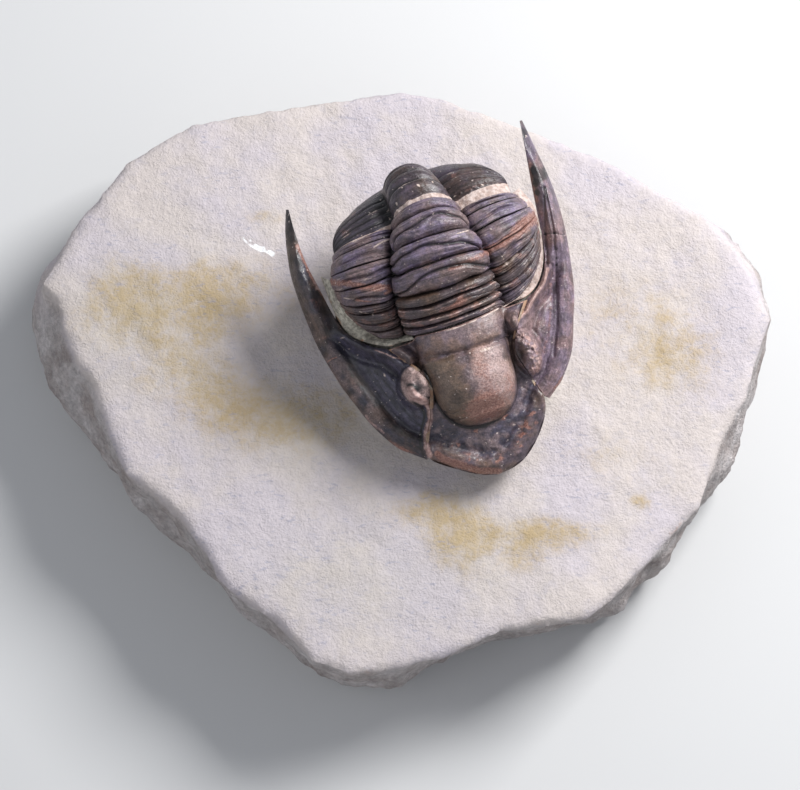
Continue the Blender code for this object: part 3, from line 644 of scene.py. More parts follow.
def left_cheek():
    t, v, u, w, outer, inner_gap, depth = cheek_grid(LEFT_BRIM, LEFT_INNER, 0.08)
    flat = stacked(v, u, 0.0)
    across = outer / (outer + inner_gap)
    ridge = line_gap(SUTURE_RIDGE, v, u)
    rear = line_gap(LEFT_INNER[5:8], v, u)
    pit = spot(v, u, LEFT_PIT, (0.42, 0.7))
    eye = fall(0.75, 1.0, ((v + 5.85) / 1.45) ** 2 + ((u + 4.0) / 1.95) ** 2)
    rough_rim = hump(outer, 0.1, 0.35) * hump(u, -9.0, 1.3)
    w += eye * (0.09 * lumps(flat, 0.4, 2.0) + 0.16 * lumps(flat, 1.1, 5.0)) - 0.28 * pit
    w += 0.05 * lumps(flat, 0.8, 6.1) * ramp(0.45, 0.6, t) + 0.02 * lumps(flat, 0.3, 1.2)
    w += 0.1 * lumps(flat, 0.5, 9.4) * ramp(0.72, 0.8, t) * hump(across, 0.5, 0.45)
    w += 0.4 * spot(v, u, LEFT_BULGE, (0.55, 0.7)) - 0.06 * stroke(v, u, LEFT_CRACK, 0.07)
    w += 0.12 * rough_rim * lumps(flat, 0.35, 4.0)
    mottle = lumps(flat, 1.3, 5.5)
    on_spine = ramp(0.62, 0.72, t)
    off_spine = 1.0 - on_spine
    masks = blank(SHELL_MASKS, v.shape)
    add_marks(masks, v, u, LEFT_MARKS)
    masks["blush"] += eye * (0.35 * (1.0 - pit) * patches(flat, 0.5, 3.3, -0.5, 0.3) + 0.1)
    masks["rust"] += 0.75 * rough_rim + 0.4 * on_spine * ramp(0.2, 0.6, mottle)
    masks["rust"] += 0.35 * hump(outer, 1.0, 0.7) * ramp(0.0, 0.5, mottle) * off_spine
    # Painted shade in the eye pit, the border furrow, the rear furrow and beside the suture ridge; the mottle
    # on the spine is real grime.
    masks["soot_and_shade"] += 0.22 * pit + 0.7 * on_spine * ramp(0.1, 0.5, -mottle)
    masks["soot_and_shade"] += off_spine * (0.5 * hump(outer, 2.1, 0.5) + 0.55 * hump(rear, 1.5, 0.35))
    masks["soot_and_shade"] += 0.85 * hump(ridge, 0.55, 0.16) * fall(-5.6, -5.0, u)
    masks["soot_and_shade"] += 0.35 * eye * hump(ridge, 0.5, 0.14)
    masks["olive"] += 0.35 * hump(rear, 0.6, 0.4)
    frosty = ramp(-8.5, -5.0, u) * fall(1.1, 2.0, outer) * (1.0 - 0.65 * on_spine)
    masks["frost_and_sheen"] += 0.85 * eye * (1.0 - 0.6 * pit) + 0.3 * frosty * patches(flat, 0.6, 2.6, -0.5, 0.4)
    masks["indigo"] += 0.85 * ramp(1.6, 2.4, outer) * off_spine * (1.0 - eye)
    masks["indigo"] += 0.35 * on_spine * ramp(0.0, 0.4, mottle)
    # Darker than the right cheek's colours: partly this cheek's own dark blue tone, partly painted shade on
    # the animal's left side.
    material = shell_material("dark_blue_brown_shell_and_painted_shade", (0.06, 0.038, 0.03), (0.026, 0.024, 0.036), 0.7)
    return cheek_plate("left_free_cheek_worn", v, u, w, outer, depth, masks, material)


left_plate = left_cheek()
finish_piece(left_plate, "left_free_cheek")

# Right cheek plate: the other free cheek, of the same shell and cemented in the same way. Its
# border is wide and mauve with two lengthwise furrows, cracked across with a small step, and
# its eye is worn to a rough crescent round a dark pit.
RIGHT_CRACK = [(10.12, 5.44), (11.1, 5.17), (11.73, 4.79), (12.2, 4.9)]
RIGHT_CRACK_U = 5.1
RIGHT_FURROWS = [
    [(11.27, 8.7), (10.7, 6.8), (9.9, 4.1), (9.2, 1.9), (8.98, 1.09)],
    [(11.6, 9.5), (11.0, 5.2), (10.4, 3.1), (9.9, 1.3), (9.5, 0.0), (8.4, -3.1), (7.2, -5.6)],
]
RIGHT_PITS = [(10.73, 3.69), (10.5, 2.9), (10.28, 2.31), (9.62, 1.4), (10.17, 1.2)]
RIGHT_REAR_RIDGE = [(9.3, 2.2), (8.6, 1.25), (7.6, 0.5), (6.8, -0.2), (6.1, -0.85), (5.4, -1.1), (4.6, -1.5)]
RIGHT_CRESCENT = [(3.97, -2.3), (4.8, -2.6), (5.2, -3.0), (5.6, -4.1), (5.6, -5.0), (5.3, -5.6), (4.9, -6.2)]
RIGHT_SPINE_BLOBS = [(11.12, 11.4), (10.9, 10.2), (10.8, 9.3)]
RIGHT_BORDER_INSIDE = [(9.2, 0.8), (8.3, -1.6), (7.4, -3.6), (6.2, -5.2), (5.4, -6.3)]
RIGHT_MARKS = [
    ("blush", 1.0, RIGHT_REAR_RIDGE, 0.24),
    ("rust", 0.45, RIGHT_BORDER_INSIDE, 0.3),
    ("rust", 0.6, (4.9, -6.2), (0.5, 0.7)),
    # Painted shade along the crack and in the hollow inside the eye.
    ("soot_and_shade", 0.75, RIGHT_CRACK, 0.06),
    ("soot_and_shade", 0.4, (4.5, -3.2), (0.4, 0.5)),
    ("frost_and_sheen", 0.25, (6.1, -1.9), (1.3, 1.0)),
    ("frost_and_sheen", 0.4, (4.9, -4.6), (0.8, 1.9)),
]


def right_cheek():
    t, v, u, w, outer, inner_gap, depth = cheek_grid(RIGHT_BRIM, RIGHT_INNER, 0.06)
    flat = stacked(v, u, 0.0)
    crescent = stroke(v, u, RIGHT_CRESCENT, 0.6)
    crack = line_gap(RIGHT_CRACK, v, u)
    rear_ridge = line_gap(RIGHT_REAR_RIDGE, v, u)
    pit = spot(v, u, RIGHT_EYE_PIT, (0.6, 1.1))
    furrow = strongest(stroke(v, u, line, 0.14) for line in RIGHT_FURROWS)
    pits = strongest(spot(v, u, at, (0.11, 0.13)) for at in RIGHT_PITS)
    blobs = strongest(spot(v, u, at, (0.2, 0.28)) for at in RIGHT_SPINE_BLOBS)
    grit = 0.12 * lumps(flat, 0.45, 3.0) + 0.07 * lumps(flat, 0.2, 7.0)
    w += grit * spot(v, u, (4.9, -4.4), (1.0, 2.2))
    w += 0.22 * crescent * (0.4 + 1.4 * lumps(flat, 0.55, 3.0) + 1.4 * lumps(flat, 0.25, 7.0))
    w += 0.42 * hump(rear_ridge, 0.0, 0.24) - 0.2 * hump(rear_ridge, 0.55, 0.2)
    w -= 0.2 * furrow + 0.16 * hump(crack, 0.0, 0.08) + 0.12 * pits
    w += 0.09 * ramp(-0.1, 0.1, u - RIGHT_CRACK_U) * fall(0.0, 1.6, u - RIGHT_CRACK_U) * ramp(9.8, 10.3, v)
    w += 0.018 * lumps(flat, 0.3, 1.2) + 0.05 * lumps(flat * (2.0, 0.6, 1.0), 0.8, 2.9) * ramp(0.7, 0.8, t)
    mottle = lumps(flat, 1.1, 5.5)
    on_spine = ramp(0.7, 0.8, t)
    off_spine = 1.0 - on_spine
    inner_spine = hump(inner_gap, 0.15, 0.35) * ramp(7.5, 9.0, u) * fall(12.0, 13.5, u)
    masks = blank(SHELL_MASKS, v.shape)
    add_marks(masks, v, u, RIGHT_MARKS)
    masks["blush"] += (0.35 + 0.5 * patches(flat, 0.4, 3.0, -0.2, 0.3)) * crescent * (1.0 - 0.7 * pit)
    masks["blush"] += 0.55 * hump(inner_gap, 0.0, 0.3) * ramp(-9.4, -8.8, u) * fall(-7.8, -7.2, u)
    masks["rust"] += 0.75 * inner_spine + 0.7 * hump(outer, 0.1, 0.3) * hump(u, -8.2, 0.9)
    # Painted shade in the eye pit, the furrows and the small pits; the blobs on the spine are real dark
    # spots.
    masks["soot_and_shade"] += 0.7 * pit + 0.9 * blobs + 0.4 * furrow * ramp(-1.0, 1.0, u) + 0.6 * pits
    masks["soot_and_shade"] += on_spine * (0.42 + 0.35 * ramp(0.1, 0.5, -mottle))
    masks["indigo"] += 0.35 * off_spine * ramp(-0.3, 0.3, mottle)
    masks["frost_and_sheen"] += 0.08 * off_spine
    worn_eye = spot(v, u, (4.8, -4.4), (0.6, 1.5))
    masks["olive"] += 0.5 * pit + 0.6 * worn_eye * patches(flat, 0.5, 6.0, -0.2, 0.3)
    masks["chalk_and_highlight"] += 0.3 * inner_spine * ramp(0.2, 0.5, mottle)
    masks["chalk_and_highlight"] += 0.6 * hump(crack, 0.15, 0.05) * ramp(0.1, 0.4, mottle)
    material = shell_material("mauve_shell", (0.18, 0.115, 0.12), (0.135, 0.1, 0.142), 0.6)
    return cheek_plate("right_free_cheek_worn", v, u, w, outer, depth, masks, material)


right_plate = right_cheek()
finish_piece(right_plate, "right_free_cheek")

# Thorax: eight jointed segments of the same shell, each an arched axial ring with a pleura to
# either side that is split lengthwise by a furrow. They stand one behind the other, held in the
# rock, and the front rings keep a bare pale line along their rear edge.
RING_EDGES = [
    (0.15, 5.1, 20.0), (0.75, 5.75, 28.0), (1.45, 6.45, 30.0), (2.55, 7.3, 27.0),
    (3.55, 7.85, 24.0), (6.1, 8.45, 8.0), (8.6, 8.28, -6.0), (10.85, 7.15, -19.0),
    (11.9, 6.05, -26.0),
]
LAST_EDGE = len(RING_EDGES) - 1
AXIS_HALF = [4.5, 4.5, 4.5, 4.45, 4.4, 4.2, 3.65, 3.1, 2.9]
AXIS_SHIFT = [-0.55, -0.55, -0.5, -0.5, -0.4, -0.2, -0.15, 0.05, 0.15]
LEFT_REACH = [7.0, 8.3, 8.95, 9.35, 9.6, 9.9, 9.9, 9.5, 9.2]
RIGHT_REACH = [7.9, 9.75, 10.1, 10.25, 10.1, 9.95, 9.65, 8.95, 8.3]
RIGHT_SWEEP = [0.3, 1.1, 1.4, 1.35, 1.0, 0.55, 0.25, 0.0, 0.0]
TIP_DROP = [4.2, 4.8, 5.2, 5.5, 5.7, 5.9, 5.6, 5.0, 4.6]
AXIS_DROP = 2.6
AXIS_SHARE = 0.46
LEFT_BOW, RIGHT_BOW = 0.3, 0.8
SIDE_LENGTH = 11.0
SEGMENT_GAP = 0.07
SEGMENT_THICKNESS = 0.8
RING_SWELL = [0.36, 0.36, 0.4, 0.44, 0.52, 0.56, 0.54, 0.5]
WIDE_RINGS = (5, 6, 7)
CREASE_SLANT = {5: 0.14, 6: -0.08, 7: 0.1}
REDDISH_RINGS = (2, 3, 4)
THORAX_TINT = ((0.7, 2.2), (1.1, 1.5))
KNOBBED_RINGS = (1, 2, 3)
RING_PALE_EDGE = [0.8, 0.75, 0.7, 0.35, 0.0, 0.0, 0.0, 0.0]
RING_OLIVE = [0.5, 0.6, 0.6, 0.5, 0.2, 0.1, 0.1, 0.1]
RING_VIOLET = [0.5, 0.4, 0.2, 0.1, 0.6, 0.9, 1.0, 0.8]
SEGMENT_BROWN, BROWN_TO_VIOLET = np.array([0.078, 0.043, 0.026]), np.array([0.055, 0.05, 0.075])
SEGMENT_BLUE, BLUE_TO_VIOLET = np.array([0.045, 0.035, 0.043]), np.array([0.06, 0.05, 0.11])
# Lines across the thorax, each with its half width and its strength.
RED_LINES = [
    ([(4.0, 5.55), (5.8, 5.75), (7.4, 6.35)], 0.5, 0.85),
    ([(7.4, 6.35), (8.6, 6.9), (9.9, 7.2)], 0.75, 0.95),
    ([(0.6, 5.2), (2.0, 5.2), (3.6, 5.45)], 0.34, 0.7),
    ([(-9.9, 7.7), (-8.4, 6.9), (-7.1, 6.1), (-5.3, 5.5)], 0.42, 0.8),
    ([(-8.4, 5.35), (-7.2, 4.8)], 0.1, 0.9),
    ([(-5.7, 5.05), (-5.0, 5.15)], 0.2, 0.9),
    ([(0.9, 3.0), (2.4, 3.1)], 0.3, 0.5),
    ([(-0.6, 1.6), (1.2, 1.7)], 0.25, 0.4),
]
PALE_LINES = [
    ([(5.3, 5.3), (5.55, 4.7), (5.6, 4.1), (5.95, 3.4)], 0.04, 0.6),
    ([(4.3, 3.4), (5.0, 3.3), (5.5, 3.35)], 0.04, 0.6),
    ([(4.6, 2.4), (5.3, 2.35)], 0.04, 0.6),
    ([(-6.8, 10.5), (-5.2, 10.75), (-3.6, 11.0)], 0.22, 0.8),
    ([(-5.2, 9.3), (-4.4, 9.5), (-3.6, 9.6)], 0.12, 0.75),
    ([(2.2, 7.9), (3.1, 7.85)], 0.06, 0.9),
    ([(-8.4, 4.3), (-7.4, 3.5)], 0.05, 0.8),
    ([(-9.3, 5.9), (-8.6, 5.5)], 0.07, 0.8),
]


def listed(values, x):
    return np.interp(x, np.arange(len(values)), values)


def beside_axis(q):
    """0 over the axis, then rising to 1 at the tips."""
    return np.clip((np.abs(q) - AXIS_SHARE) / (1.0 - AXIS_SHARE), 0.0, 1.0)


def back_point(x, q, lift=0.0):
    """A point of the thorax: x counts ring edges from the head, q runs from -1 at the left
    tip over 0 on the middle line to 1 at the right tip, and lift stands out of the surface."""
    x, q, lift = np.broadcast_arrays(np.asarray(x, float), np.asarray(q, float), np.asarray(lift, float))
    u, w, tilt = np.moveaxis(curve(RING_EDGES, x / LAST_EDGE), -1, 0)
    tilt = np.radians(tilt)
    right = q > 0
    on_axis = np.abs(q) < AXIS_SHARE
    axis = listed(AXIS_HALF, x)
    reach = np.where(right, listed(RIGHT_REACH, x), listed(LEFT_REACH, x))
    f, g = np.clip(np.abs(q) / AXIS_SHARE, 0.0, 1.0), beside_axis(q)
    quarter = np.pi / 2
    pleura = axis + (reach - axis) * (0.35 * g + 0.65 * np.sin(g * quarter))
    across = np.where(on_axis, axis * np.sin(f * quarter) ** 0.9, pleura)
    drop_axis = AXIS_DROP * (1.0 - np.clip(np.cos(f * quarter), 0.0, 1.0) ** 0.9)
    drop_side = AXIS_DROP - 0.3 * ramp(0.0, 0.25, g) + (listed(TIP_DROP, x) - AXIS_DROP + 0.3) * g**2.5
    lean = np.where(on_axis, 1.2 * f * f, 1.1 * g)
    bow = np.where(on_axis, f * f, 1.0 - g) * np.where(right, RIGHT_BOW, LEFT_BOW)
    across = across + lift * np.sin(lean)
    drop = np.where(on_axis, drop_axis, drop_side) - lift * np.cos(lean)
    u = u - bow + np.where(right, listed(RIGHT_SWEEP, x), 0.0) * g**1.4
    v = listed(AXIS_SHIFT, x) + np.where(right, 1.0, -1.0) * across
    return stacked(v, u + drop * np.sin(tilt), w - drop * np.cos(tilt))


def crease_line(number, q, waver):
    """Where a wide ring's own crease runs: an arch that meets the ring's front edge."""
    across = q / AXIS_SHARE
    return 0.66 + CREASE_SLANT.get(number, 0.0) * across - 0.5 * (across + 0.1) ** 2 + 0.1 * waver


def pleural_furrow(f, waver, half):
    return hump(f, 0.42 + 0.16 * waver, half)


def ring_profile(number, f, q, waver):
    """How far a segment stands out at f, from its front edge to its rear edge."""
    full_swell = RING_SWELL[number - 1]
    rise = ramp(-0.12, 0.5, f) * (1.0 - 0.25 * ramp(0.75, 1.0, f))
    aside = np.abs(q)
    on_axis = fall(AXIS_SHARE - 0.05, AXIS_SHARE + 0.01, aside)
    crease = 0.34 if number in WIDE_RINGS else 0.05
    inward = fall(0.72, 0.93, aside)
    split = crease * hump(f, crease_line(number, q, waver), 0.075)
    axial = full_swell * rise - split - 0.25 * hump(f, 0.0, 0.12)
    axial -= 0.07 * hump(f, 0.4 + 0.35 * waver, 0.06) + 0.05 * hump(f, 0.75 - 0.3 * waver, 0.045)
    fold = 0.6 + 0.8 * ramp(-0.4, 0.4, waver)
    pleural = full_swell * (0.3 + 0.6 * (rise - 0.45) * (0.35 + 0.65 * inward))
    pleural -= full_swell * 0.55 * fold * inward * pleural_furrow(f, waver, 0.09)
    folds = 0.1 * (1.6 - fold) * hump(f, 0.17 + 0.1 * waver, 0.05) + 0.1 * hump(f, 0.75 - 0.14 * waver, 0.05)
    groove = 0.34 * hump(aside, AXIS_SHARE + 0.015, 0.028)
    return on_axis * axial + (1.0 - on_axis) * (pleural - inward * folds) - groove


def thorax_segment(number):
    wide = number in WIDE_RINGS
    columns = 50 if wide else 34
    q = np.linspace(-1.0, 1.0, 340)[:, None]
    f = dense_ends(columns, 0.4)
    run = np.subtract(RING_EDGES[number], RING_EDGES[number - 1])
    width = np.hypot(run[0], run[1])
    gap = SEGMENT_GAP / width
    x = number - 1 + gap + (1.0 - 2.0 * gap) * f + 0.0 * q
    waver = lumps(stacked(q * 5.0, x * 1.4, 0.0), 1.0, 2.0)
    x = x + 0.11 * waver * ramp(0.0, 0.5, x) * fall(7.5, 8.0, x)
    flat = back_point(x, q)
    v, u = flat[..., 0], flat[..., 1]
    aside = np.abs(q)
    from_front, from_rear = f * width, (1.0 - f) * width
    to_tip = 1.0 - 0.65 * ramp(0.7, 0.95, aside)
    lift = ring_profile(number, f, q, waver)
    lift -= (rolled(from_front, 0.1) + rolled(from_rear, 0.2)) * to_tip
    lift -= rolled((1.0 - aside) * SIDE_LENGTH, 0.35)
    lift += 0.08 * lumps(flat * (0.6, 1.6, 1.6), 0.9, number * 1.3) + 0.025 * lumps(flat, 0.3, number * 2.1)
    if number in KNOBBED_RINGS:
        lift += 0.3 * spot(q, f, (AXIS_SHARE - 0.035, 0.55), (0.022, 0.42))
    pale, red = (
        strongest(strength * stroke(v, u, line, half) for line, half, strength in lines)
        for lines in (PALE_LINES, RED_LINES)
    )
    lift += 0.09 * red * (1.0 + lumps(flat, 0.4, 3.0)) - 0.05 * pale
    pale_edge, olive, violet = (marks[number - 1] for marks in (RING_PALE_EDGE, RING_OLIVE, RING_VIOLET))
    on_axis = fall(AXIS_SHARE - 0.02, AXIS_SHARE + 0.01, aside)
    off_axis = 1.0 - on_axis
    mottle = lumps(flat, 1.2, 4.0 + number)
    edge_line = pale_edge * hump(from_rear + 0.05 * waver, 0.1, 0.065) * on_axis
    tint = 0.55 * spot(v, u, *THORAX_TINT) + 0.5 * ramp(0.0, 0.4, mottle) * (number in REDDISH_RINGS)
    scratches = patches(stacked(from_front * 3.0, q * 4.0, 0.0), 0.5, number * 3.1, 0.42, 0.5)
    # Painted shade: near-black in the axial furrows, darker on the left, along each segment's front crease,
    # in the pleural furrows and in the wide rings' creases; the patches on the pleurae are real grime.
    soot_and_shade = 0.9 * hump(aside, AXIS_SHARE + 0.012, 0.026) * (1.0 - 0.6 * ramp(0.0, 0.1, q))
    soot_and_shade = soot_and_shade + 0.75 * hump(from_front, 0.0, 0.2) * to_tip
    soot_and_shade += 0.45 * pleural_furrow(f, waver, 0.08) * off_axis * fall(0.65, 0.9, aside)
    soot_and_shade += 0.25 * off_axis * patches(flat * (0.5, 2.0, 1.0), 0.9, 2.2, 0.0, 0.5)
    soot_and_shade += 0.85 * hump(f, crease_line(number, q, waver), 0.07) * on_axis * wide
    chalk_and_highlight = pale + 0.6 * edge_line * patches(flat, 0.8, 2.0, -0.1, 0.2)
    chalk_and_highlight += 0.5 * scratches * (1.0 - 0.6 * on_axis) * ramp(-0.2, 0.2, mottle)
    bloom = 0.1 + 0.16 * patches(flat, 0.8, 9.1, 0.0, 0.5)
    masks = {
        "blush": edge_line * ramp(-0.35, 0.15, mottle) + 0.5 * red * patches(flat, 0.5, 7.0, 0.0, 0.4),
        "olive": olive * ((0.6 + 0.4 * mottle) * on_axis + 0.35 * off_axis),
        "soot_and_shade": soot_and_shade,
        "rust": np.maximum(red, tint),
        "indigo": 0.5 * violet * ramp(-0.4, 0.4, mottle),
        "frost_and_sheen": 0.04 + 0.12 * ramp(0.8, 1.0, aside) + violet * bloom,
        "chalk_and_highlight": chalk_and_highlight,
    }
    grain = stacked(from_front * 5.0, q * SIDE_LENGTH * 0.3, number * 7.0)
    brown = SEGMENT_BROWN + BROWN_TO_VIOLET * violet
    blue = SEGMENT_BLUE + BLUE_TO_VIOLET * violet
    material = shell_material(f"segment_{number:02d}_shell_streaked", brown, blue, 0.75)
    under = back_point(x, q, -SEGMENT_THICKNESS * (1.0 - 0.45 * aside**6))
    top = back_point(x, q, lift)
    return plate(f"thorax_segment_{number:02d}_worn", top, under, columns // 5, masks, grain, material)


segments = []
for number in range(1, len(RING_EDGES)):
    segment = thorax_segment(number)
    finish_piece(segment, f"thorax_segment_{number:02d}")
    segments.append(segment)

# Tail plate: the pygidium, a short ringed axis between two smooth fields in one plate. It is
# dark brown shell with fine lines along its faint ribs, cemented to the rock, and a band of
# rock parts it from the last segment.
TAIL_MARGIN = [
    (-8.9, 10.7), (-8.55, 11.5), (-7.9, 12.3), (-6.8, 13.0), (-5.6, 13.65), (-4.4, 14.1),
    (-2.9, 14.5), (-1.6, 14.9), (-0.2, 15.1), (1.2, 15.0), (2.4, 14.9), (3.9, 14.7), (5.0, 14.3),
    (6.1, 13.9), (7.0, 13.2), (7.7, 12.4), (8.3, 11.4),
]
TAIL_CORNER_HEIGHT = 1.6
TAIL_FALL = 0.75
TAIL_FIELD_SWELL = 0.9
TAIL_AXIS_SWELL = 1.05
TAIL_AXIS_SHARE = 0.2
TAIL_AXIS_END = 0.47
TAIL_LENGTH = 5.0
TAIL_THICKNESS = 0.8
TAIL_GAP = (0.5, 1.0)
TAIL_RING_PITCH = 0.155
TAIL_RIBS = (0.12, 0.26, 0.4, 0.55)


def tail_edges(q):
    """The front edge and the margin at q, and which way the front face looks up."""
    tilt = radians(RING_EDGES[-1][2])
    gap = TAIL_GAP[0] * ramp(-0.62, -0.42, q) + 0.12 + (TAIL_GAP[1] - TAIL_GAP[0]) * ramp(0.2, 0.6, q)
    front = back_point(LAST_EDGE, q) + gap[:, None] * np.array([0.0, np.cos(tilt), np.sin(tilt)])
    rest = np.where(q < 0, TAIL_AXIS_END, 1.0 - TAIL_AXIS_END) - 0.5 * TAIL_AXIS_SHARE
    outside = np.where(q > 0, 1.0, -1.0) * (0.5 * TAIL_AXIS_SHARE + rest * beside_axis(q))
    share = np.where(np.abs(q) < AXIS_SHARE, 0.5 * TAIL_AXIS_SHARE * q / AXIS_SHARE, outside)
    v, u = curve(TAIL_MARGIN, TAIL_AXIS_END + share).T
    height = TAIL_CORNER_HEIGHT - TAIL_FALL * (u - TAIL_MARGIN[0][1])
    return front, stacked(v, u, height), np.array([0.0, -np.sin(tilt), np.cos(tilt)])


def tail_grid(q, f, lift=0.0, depth=0.0):
    """Points of the tail from its front edge to its margin, swollen over the axis and fields."""
    front, margin, face_up = tail_edges(q)
    run = (margin - front)[:, None, :]
    up = stacked(0.0, -run[..., 2], run[..., 1])
    up = up / np.linalg.norm(up, axis=-1, keepdims=True)
    aside = np.abs(q)[:, None]
    swell = TAIL_FIELD_SWELL * np.sin(np.pi * f) * (1.0 - 0.5 * aside**4)
    ridge = np.clip(np.cos(np.clip(aside / AXIS_SHARE, 0.0, 1.0) * np.pi / 2), 0.0, 1.0) ** 0.6
    swell = swell + TAIL_AXIS_SWELL * ridge * np.clip(np.sin(np.pi * f**0.9), 0.0, 1.0) ** 0.8
    blend = ramp(0.0, 0.5, f)[..., None]
    inward = face_up * (1.0 - blend) + up * blend
    out = up * (swell + lift)[..., None] - inward * np.asarray(depth)[..., None]
    return front[:, None, :] + run * f[..., None] + out


def pygidium():
    across = np.linspace(-1.0, 1.0, 380)
    q = across[:, None]
    f = dense_ends(100, 0.5)[None, :]
    aside = np.abs(q)
    flat = tail_grid(across, f)
    on_axis = fall(AXIS_SHARE - 0.1, AXIS_SHARE + 0.02, aside)
    off_axis = 1.0 - on_axis
    fade = np.sin(np.pi * np.clip(f, 0.0, 1.0)) ** 0.5
    ring_lines = sum(hump(f, 0.03 + number * TAIL_RING_PITCH, 0.022) for number in (1, 2, 3))
    ribs = sum(hump(f + 0.08 * (aside - AXIS_SHARE), at, 0.025) for at in TAIL_RIBS)
    scallop = np.abs(np.sin(np.pi * (f - 0.03) / TAIL_RING_PITCH)) ** 0.6 * fall(0.5, 0.7, f)
    lift = (0.42 * scallop - 0.2) * on_axis - 0.14 * ribs * off_axis * fall(0.9, 1.0, aside)
    lift -= 0.22 * hump(aside, AXIS_SHARE + 0.01, 0.05) * fade * fall(0.55, 0.8, f)
    lift += 0.04 * lumps(flat, 0.9, 2.7) + 0.016 * lumps(flat, 0.25, 6.6)
    lift -= rolled(f * TAIL_LENGTH, 0.18) + rolled((1.0 - f) * TAIL_LENGTH, 0.35)
    lift -= rolled((1.0 - aside) * SIDE_LENGTH, 0.3)
    knobs = patches(flat, 0.45, 8.3, 0.15, 0.5) * hump(f, 0.07, 0.06) * ramp(0.3, 0.5, q)
    striae = stacked(f * 15.0, q * 4.0, 0.0)
    lift += 0.12 * knobs + 0.03 * lumps(striae, 0.45, 3.0)
    mottle = lumps(flat, 1.5, 1.9)
    scratches = patches(striae, 0.5, 12.0, 0.36, 0.46) * ramp(-0.2, 0.2, mottle)
    pale_rings = hump(f, 0.16, 0.02) + 1.2 * hump(f, 0.31, 0.02) + hump(f, 0.47, 0.015)
    chalk_and_highlight = 0.8 * patches(flat, 0.4, 5.1, 0.52, 0.58) * hump(f, 0.1, 0.12) + 0.5 * scratches * off_axis
    chalk_and_highlight += 0.75 * on_axis * ramp(-0.4, 0.2, mottle) * pale_rings
    chalk_and_highlight += 0.4 * off_axis * ramp(0.1, 0.4, mottle) * hump(f + 0.08 * aside, 0.27, 0.012)
    # Painted shade: the left field is darkened, and near-black lies in the ribs, the axis's ring grooves and
    # the axial furrows.
    soot_and_shade = off_axis * (0.5 * fall(-0.3, 0.1, q) + 0.35 * ribs) + 0.85 * ring_lines * on_axis
    soot_and_shade += 0.6 * hump(aside, AXIS_SHARE, 0.04) * fall(0.5, 0.8, f)
    rust = 0.5 * ramp(0.1, 0.55, mottle) * off_axis
    rust += 0.4 * on_axis * hump(f, 0.35, 0.25) * ramp(-0.1, 0.3, mottle)
    masks = {
        "soot_and_shade": soot_and_shade,
        "rust": rust,
        "olive": 0.1 * on_axis,
        # Indigo is the shell's own tint; the extra on the left side is painted shade.
        "indigo": 0.3 + 0.3 * fall(-0.4, 0.0, q),
        "blush": 0.5 * knobs,
        "frost_and_sheen": 0.06,
        "chalk_and_highlight": chalk_and_highlight,
    }
    grain = stacked(f * TAIL_LENGTH * 3.6, q * SIDE_LENGTH * 0.3, 0.0)
    material = shell_material("dark_tail_shell", (0.042, 0.024, 0.019), (0.025, 0.018, 0.031), 1.0)
    under = tail_grid(across, f, 0.0, TAIL_THICKNESS * (1.0 - 0.5 * aside**6))
    return plate("pygidium_worn", tail_grid(across, f, lift), under, 20, masks, grain, material)


tail_plate = pygidium()
finish_piece(tail_plate, "pygidium")

# Rock: one piece of pale limestone, broken at its sides and ground level round the animal by an
# abrasive jet. The stand was left under the plates, and rock still fills the gaps between the
# cheeks and the thorax and behind the last segment.
SLAB_THICKNESS = 13.0
BELLY_LEVEL = 6.5
SLAB_SHIFT = np.array([-0.12, -2.15])
SLAB_CORNERS = [
    (-34.2, 10.9), (-32.6, 9.1), (-32.2, 6.4), (-30.9, 3.3), (-29.3, 1.1), (-27.8, -3.1), (-26.7, -6.0),
    (-25.7, -7.9), (-23.6, -9.3), (-20.7, -12.1), (-18.2, -15.3), (-17.1, -17.8), (-15.2, -19.7),
    (-12.0, -21.6), (-9.9, -23.7), (-8.3, -25.6), (-4.6, -26.9), (-0.8, -26.4), (4.0, -25.3),
    (6.4, -24.2), (9.3, -22.8), (13.3, -22.3), (17.4, -21.7), (20.0, -19.5), (22.8, -16.6),
    (25.4, -13.5), (28.2, -10.8), (29.4, -7.3), (30.8, -3.4), (32.9, -0.1), (33.9, 3.8), (35.2, 7.4),
    (34.6, 9.6), (33.4, 12.5), (31.7, 15.1), (29.5, 17.7), (24.9, 20.3), (18.9, 24.0), (13.5, 26.1),
    (3.9, 29.7), (0.0, 30.4), (-3.7, 29.9), (-14.0, 28.3), (-19.9, 27.2), (-26.2, 23.4), (-30.9, 17.3),
]
SLAB_BELLY = [
    (-35.8, 11.1), (-35.7, 8.5), (-35.1, 5.9), (-33.8, 2.5), (-31.3, -1.1), (-26.8, -6.8), (-25.4, -9.3),
    (-23.2, -11.3), (-21.0, -13.2), (-17.7, -16.4), (-16.0, -18.8), (-13.3, -21.0), (-10.8, -22.9),
    (-7.8, -25.6), (-4.1, -26.8), (0.0, -26.7), (2.7, -24.8), (6.7, -23.2), (9.2, -22.0), (14.9, -21.2),
    (19.3, -20.1), (21.2, -19.3), (22.8, -17.0), (25.3, -15.4), (26.4, -13.1), (28.6, -9.4),
    (30.3, -7.6), (32.2, -5.1), (33.2, -0.7), (34.2, 1.6), (35.1, 6.2), (35.8, 9.0), (35.0, 13.4),
    (32.0, 18.0), (25.4, 21.2), (19.3, 24.8), (13.7, 27.1), (4.0, 30.6), (-0.2, 31.2), (-14.0, 29.2),
    (-20.4, 27.9), (-27.0, 23.8), (-31.9, 17.6), (-34.9, 13.6),
]
SIDE_LEVELS = [0.0, 1.4, 3.9, BELLY_LEVEL]
SIDE_INSETS = [1.9, 0.9, 0.3, 0.0]
BREAK_ROUGHNESS = 0.45
BOX_MARGIN = 0.01
RIM_DROP = 0.62
